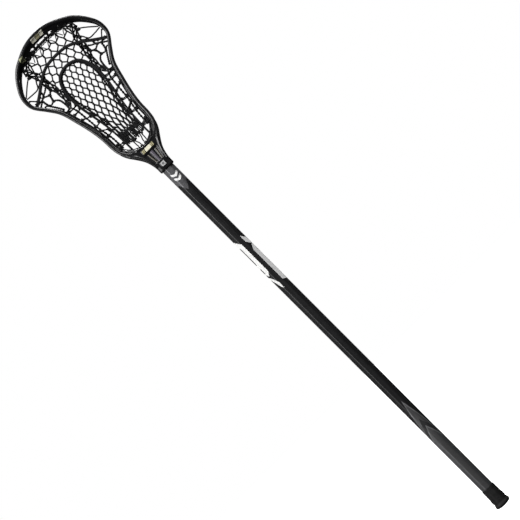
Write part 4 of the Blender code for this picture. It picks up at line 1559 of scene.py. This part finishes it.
def make_corner_string(side, surface):
    """Cords from the net's upper edge to the widest part of the rim, and the cords of the wing."""
    cords = Strands()
    for route in WING_ROUTES:
        wing = mirrored(route, side)
        add_twisted(cords, wing, lift=0.0, radius=WING_CORD, spread=0.95, twist_length=7.0)
    for route in CORNER_ROUTES:
        add_single(cords, mirrored(route, side), lift=0.6, radius=CORNER_CORD)
    for x, z in WING_KNOTS:
        add_knot(cords, side * x, z, radius=1.1, lift=1.0, size=1.5)
    for x, z in WING_TIES:
        place = side * nearest_place(x, z, 80.0, 216.0)
        wrap_rail(cords, place, radius=1.0, turns=1.5, pitch=2.1, through=True)
    node = side_name("corner_string", side)
    return cords.piece(side_name("corner_cords", side), surface, [node])


def make_top_string(surface):
    """Cord wound round the scoop's bar at each tie, and running behind it in between."""
    cords = Strands()
    points = []
    for step in range(61):
        place = 54.0 * (step / 30.0 - 1.0)
        middle, inward, _ = rail_section(place)
        points.append(tuple(middle + inward * 3.6 + Vector((0.0, 1.2, 0.5 * math.sin(place)))))
    cords.add(points, 0.9)
    for place in BAR_TIES:
        turns = 1.0 if place < SCOOP_SLOTS[0][1] else 2.5
        for side in (-1.0, 1.0):
            wrap_rail(cords, side * place, radius=0.8, turns=turns, pitch=1.9)
            x = side * (place - 0.3)
            z = bar_at(x)[0]
            for reach in (-6.8, 6.8):
                route = [(x, z - 1.0), (x + 0.45 * reach, z - 4.2), (x + reach, z - 10.5)]
                add_single(cords, route, lift=0.9, radius=0.85)
    return cords.piece("top_cord", surface, ["top_string"])


def make_throat_string(side, surface):
    """Cord from the foot of the net down over the bottom of the bowl."""
    cords = Strands()
    for x_top, x_low in ((9.6, 8.8), (6.4, 3.4)):
        route = [(x_top + 0.6, 862.0), (x_top, 852.0), (x_low + 0.5, 845.0), (x_low, 841.0)]
        points = [(side * x, net_y(x, z) - 1.5, z) for x, z in route]
        middle = rail_section(RIM_HALF - x_low)[0]
        back = middle.y + RAIL_HEIGHT / 2.0 + 1.0
        points += [(side * x_low, back + 1.5, middle.z + 3.5), (side * x_low, back, middle.z)]
        cords.add(even_points(points, 1.2), 1.05)
        wrap_rail(cords, side * (RIM_HALF - x_low), radius=0.9, turns=1.0, pitch=1.0)
    node = side_name("throat_string", side)
    return cords.piece(side_name("throat_cord", side), surface, [node])


def add_lace(strands, route, lift, low_share):
    """A braided lace along a route on the net, thinner at the foot by a share of its radius."""
    points = [(x, net_y(x, z) - lift, z) for x, z in even_points(both_sides(route), 0.45)]
    radii = [ramp(z, (905.0, 985.0), (low_share * LACE_RADIUS, LACE_RADIUS)) for _, _, z in points]
    strands.add(points, radii, sides=20, relief=0.16, bumps=3, bump_length=4.0)


def make_laces(surface):
    """The braided shooting lace across the net, and the lace that frames the ball channel."""
    shooting = Strands()
    add_lace(shooting, SHOOTING_ROUTE, SHOOTING_LIFT, 1.0)
    shooting.piece("shooting_lace", surface, ["shooting_string"])
    channel = Strands()
    add_lace(channel, CHANNEL_ROUTE + [CHANNEL_END], CHANNEL_LIFT, 0.64)
    inner = [(0.0, 1016.6), (14.5, 1013.0), (23.5, 1004.0)]
    inner += [(x - ramp(z, (930.0, 985.0), (5.4, 3.2)), z) for x, z in CHANNEL_ROUTE[3:-1]]
    add_twisted(channel, both_sides(inner), lift=0.4, radius=1.0, spread=1.0, twist_length=8.0)
    channel.piece("channel_lace", surface, ["channel_string"])


def make_pocket():
    """Net and strings."""
    # The colour given to each braid is the painted highlight on its crowns.
    cord = braided("braided_cord", (0.013, 0.013, 0.014), bumps=4, bump_length=2.2, roughness=0.58, depth=0.2)
    yarn = braided("net_yarn", (0.011, 0.011, 0.012), bumps=3, bump_length=1.5, roughness=0.62, depth=0.18)
    lace = braided("woven_lace", (0.012, 0.012, 0.013), bumps=9, bump_length=1.1, roughness=0.62, depth=0.12)
    make_net(yarn)
    make_top_string(cord)
    make_laces(lace)
    for side in (-1.0, 1.0):
        make_sidewall_string(side, cord)
        make_corner_string(side, cord)
        make_throat_string(side, cord)


# ---------------------------------------------------------------- camera, floor and lights

VIEW_WIDTH = 0.8528  # metres across the picture, at the stick
VIEW_HEIGHT = 0.5666  # height of the middle of the picture
LENS = 150.0
SENSOR = 36.0
FLOOR_HEIGHT = -0.045  # clear of the butt cap when it is pulled off

# Soft lights: name, place, height of the point it faces, width, height, brightness.
LIGHTS = [
    ("top_light", (-1.3, -0.2, 3.0), 0.8, 2.4, 2.4, 2.6),
    ("key_light", (-2.3, -3.2, 2.0), 0.6, 1.8, 1.8, 11.5),
    ("fill_light", (2.4, -2.3, 3.4), 0.6, 1.8, 1.8, 15.0),
    ("left_light", (-2.3, -1.2, 0.7), 0.6, 1.4, 2.4, 3.1),
    ("back_light", (0.9, 2.8, 3.0), 0.6, 2.0, 2.0, 8.0),
    ("back_fill_light", (-2.6, 2.0, 2.4), 0.6, 1.6, 1.6, 5.0),
]


def make_camera():
    """A camera in front of the stick, rolled by an eighth of a turn."""
    data = bpy.data.cameras.new("camera")
    data.lens = LENS
    data.sensor_width = SENSOR
    camera = bpy.data.objects.new("camera", data)
    bpy.context.scene.collection.objects.link(camera)
    camera.location = (0.0, -VIEW_WIDTH * LENS / SENSOR, VIEW_HEIGHT)
    camera.rotation_euler = (math.pi / 2.0, math.pi / 4.0, 0.0)
    bpy.context.scene.camera = camera


def make_floor():
    """A plain pale floor, lit up to the white of the background."""
    half = 5.0
    mesh = bpy.data.meshes.new("floor")
    corners = [(-half, -half, 0.0), (half, -half, 0.0), (half, half, 0.0), (-half, half, 0.0)]
    mesh.from_pydata(corners, [], [(0, 1, 2, 3)])
    floor = helper("floor", mesh)
    floor.location.z = FLOOR_HEIGHT
    glow = {"Emission_Color": (1.0, 1.0, 1.0, 1.0), "Emission_Strength": 1.0}
    mesh.materials.append(Surface("floor_white", (0.9, 0.9, 0.9), 0.8, **glow).material)
    floor.visible_diffuse = False
    floor.visible_glossy = False


def softbox(name, location, target_height, width, height, brightness):
    """A rectangular area light that faces a point on the shaft's axis."""
    data = bpy.data.lights.new(name, "AREA")
    data.shape = "RECTANGLE"
    data.size = width
    data.size_y = height
    data.energy = brightness * math.pi * width * height
    light = bpy.data.objects.new(name, data)
    bpy.context.scene.collection.objects.link(light)
    light.location = location
    light.visible_camera = False
    way = Vector((0.0, 0.0, target_height)) - Vector(location)
    light.rotation_euler = way.to_track_quat("-Z", "Y").to_euler()


def make_lights():
    """Soft lights in front, above and behind, in a surround that looks white but hardly lights."""
    scene = bpy.context.scene
    scene.view_settings.view_transform = "Standard"
    scene.world = bpy.data.worlds.new("surround")
    scene.world.use_nodes = True
    tree = scene.world.node_tree
    background = tree.nodes["Background"].inputs
    background["Color"].default_value = (1.0, 1.0, 1.0, 1.0)
    seen = tree.nodes.new("ShaderNodeLightPath").outputs["Is Camera Ray"]
    strength = tree.nodes.new("ShaderNodeMapRange")
    strength.inputs["To Min"].default_value = 0.04
    tree.links.new(seen, strength.inputs["Value"])
    tree.links.new(strength.outputs["Result"], background["Strength"])
    for light in LIGHTS:
        softbox(*light)


# ---------------------------------------------------------------- the whole stick

# Inks: name, colour, colour where it is rubbed thin, roughness, share of metal flake.
INKS = [
    ("white", (0.78, 0.78, 0.77), (0.68, 0.68, 0.67), 0.45, 0.0),
    # pale: a greyer copy of white, painted shade for the prints on the shaft's right side.
    ("pale", (0.70, 0.70, 0.70), (0.56, 0.56, 0.56), 0.45, 0.0),
    ("grey", (0.115, 0.115, 0.12), (0.085, 0.085, 0.088), 0.34, 0.5),
    ("silver", (0.40, 0.40, 0.40), (0.27, 0.27, 0.27), 0.4, 0.0),
    ("steel", (0.16, 0.16, 0.165), (0.10, 0.10, 0.103), 0.36, 0.3),
    ("dark", (0.010, 0.010, 0.011), (0.007, 0.007, 0.008), 0.5, 0.0),
    ("ivory", (0.74, 0.71, 0.56), (0.62, 0.59, 0.45), 0.4, 0.0),
    ("gold", (0.34, 0.31, 0.18), (0.20, 0.18, 0.10), 0.4, 0.0),
    # cream: ivory brightened as painted light, for the prints on the scoop's shaded ramp.
    ("cream", (0.90, 0.88, 0.74), (0.70, 0.67, 0.52), 0.4, 0.0),
    ("brass", (0.62, 0.58, 0.36), (0.40, 0.37, 0.22), 0.4, 0.0),
    ("olive", (0.36, 0.37, 0.22), (0.20, 0.21, 0.12), 0.45, 0.0),
    # plum and bronze: painted highlights for the throat's ribs.
    ("plum", (0.085, 0.075, 0.095), (0.05, 0.045, 0.055), 0.4, 0.0),
    ("bronze", (0.13, 0.115, 0.085), (0.07, 0.06, 0.045), 0.4, 0.0),
]


def main():
    """Make every piece."""
    make_camera()
    make_floor()
    make_lights()
    head = make_head(moulded_nylon())
    make_screw(oxide_steel())
    make_shaft(coated_composite())
    make_cap(butt_rubber())
    inks = {name: printed_ink("ink_" + name, *looks) for name, *looks in INKS}
    make_prints(inks)
    make_head_prints(head, inks)
    make_pocket()


main()
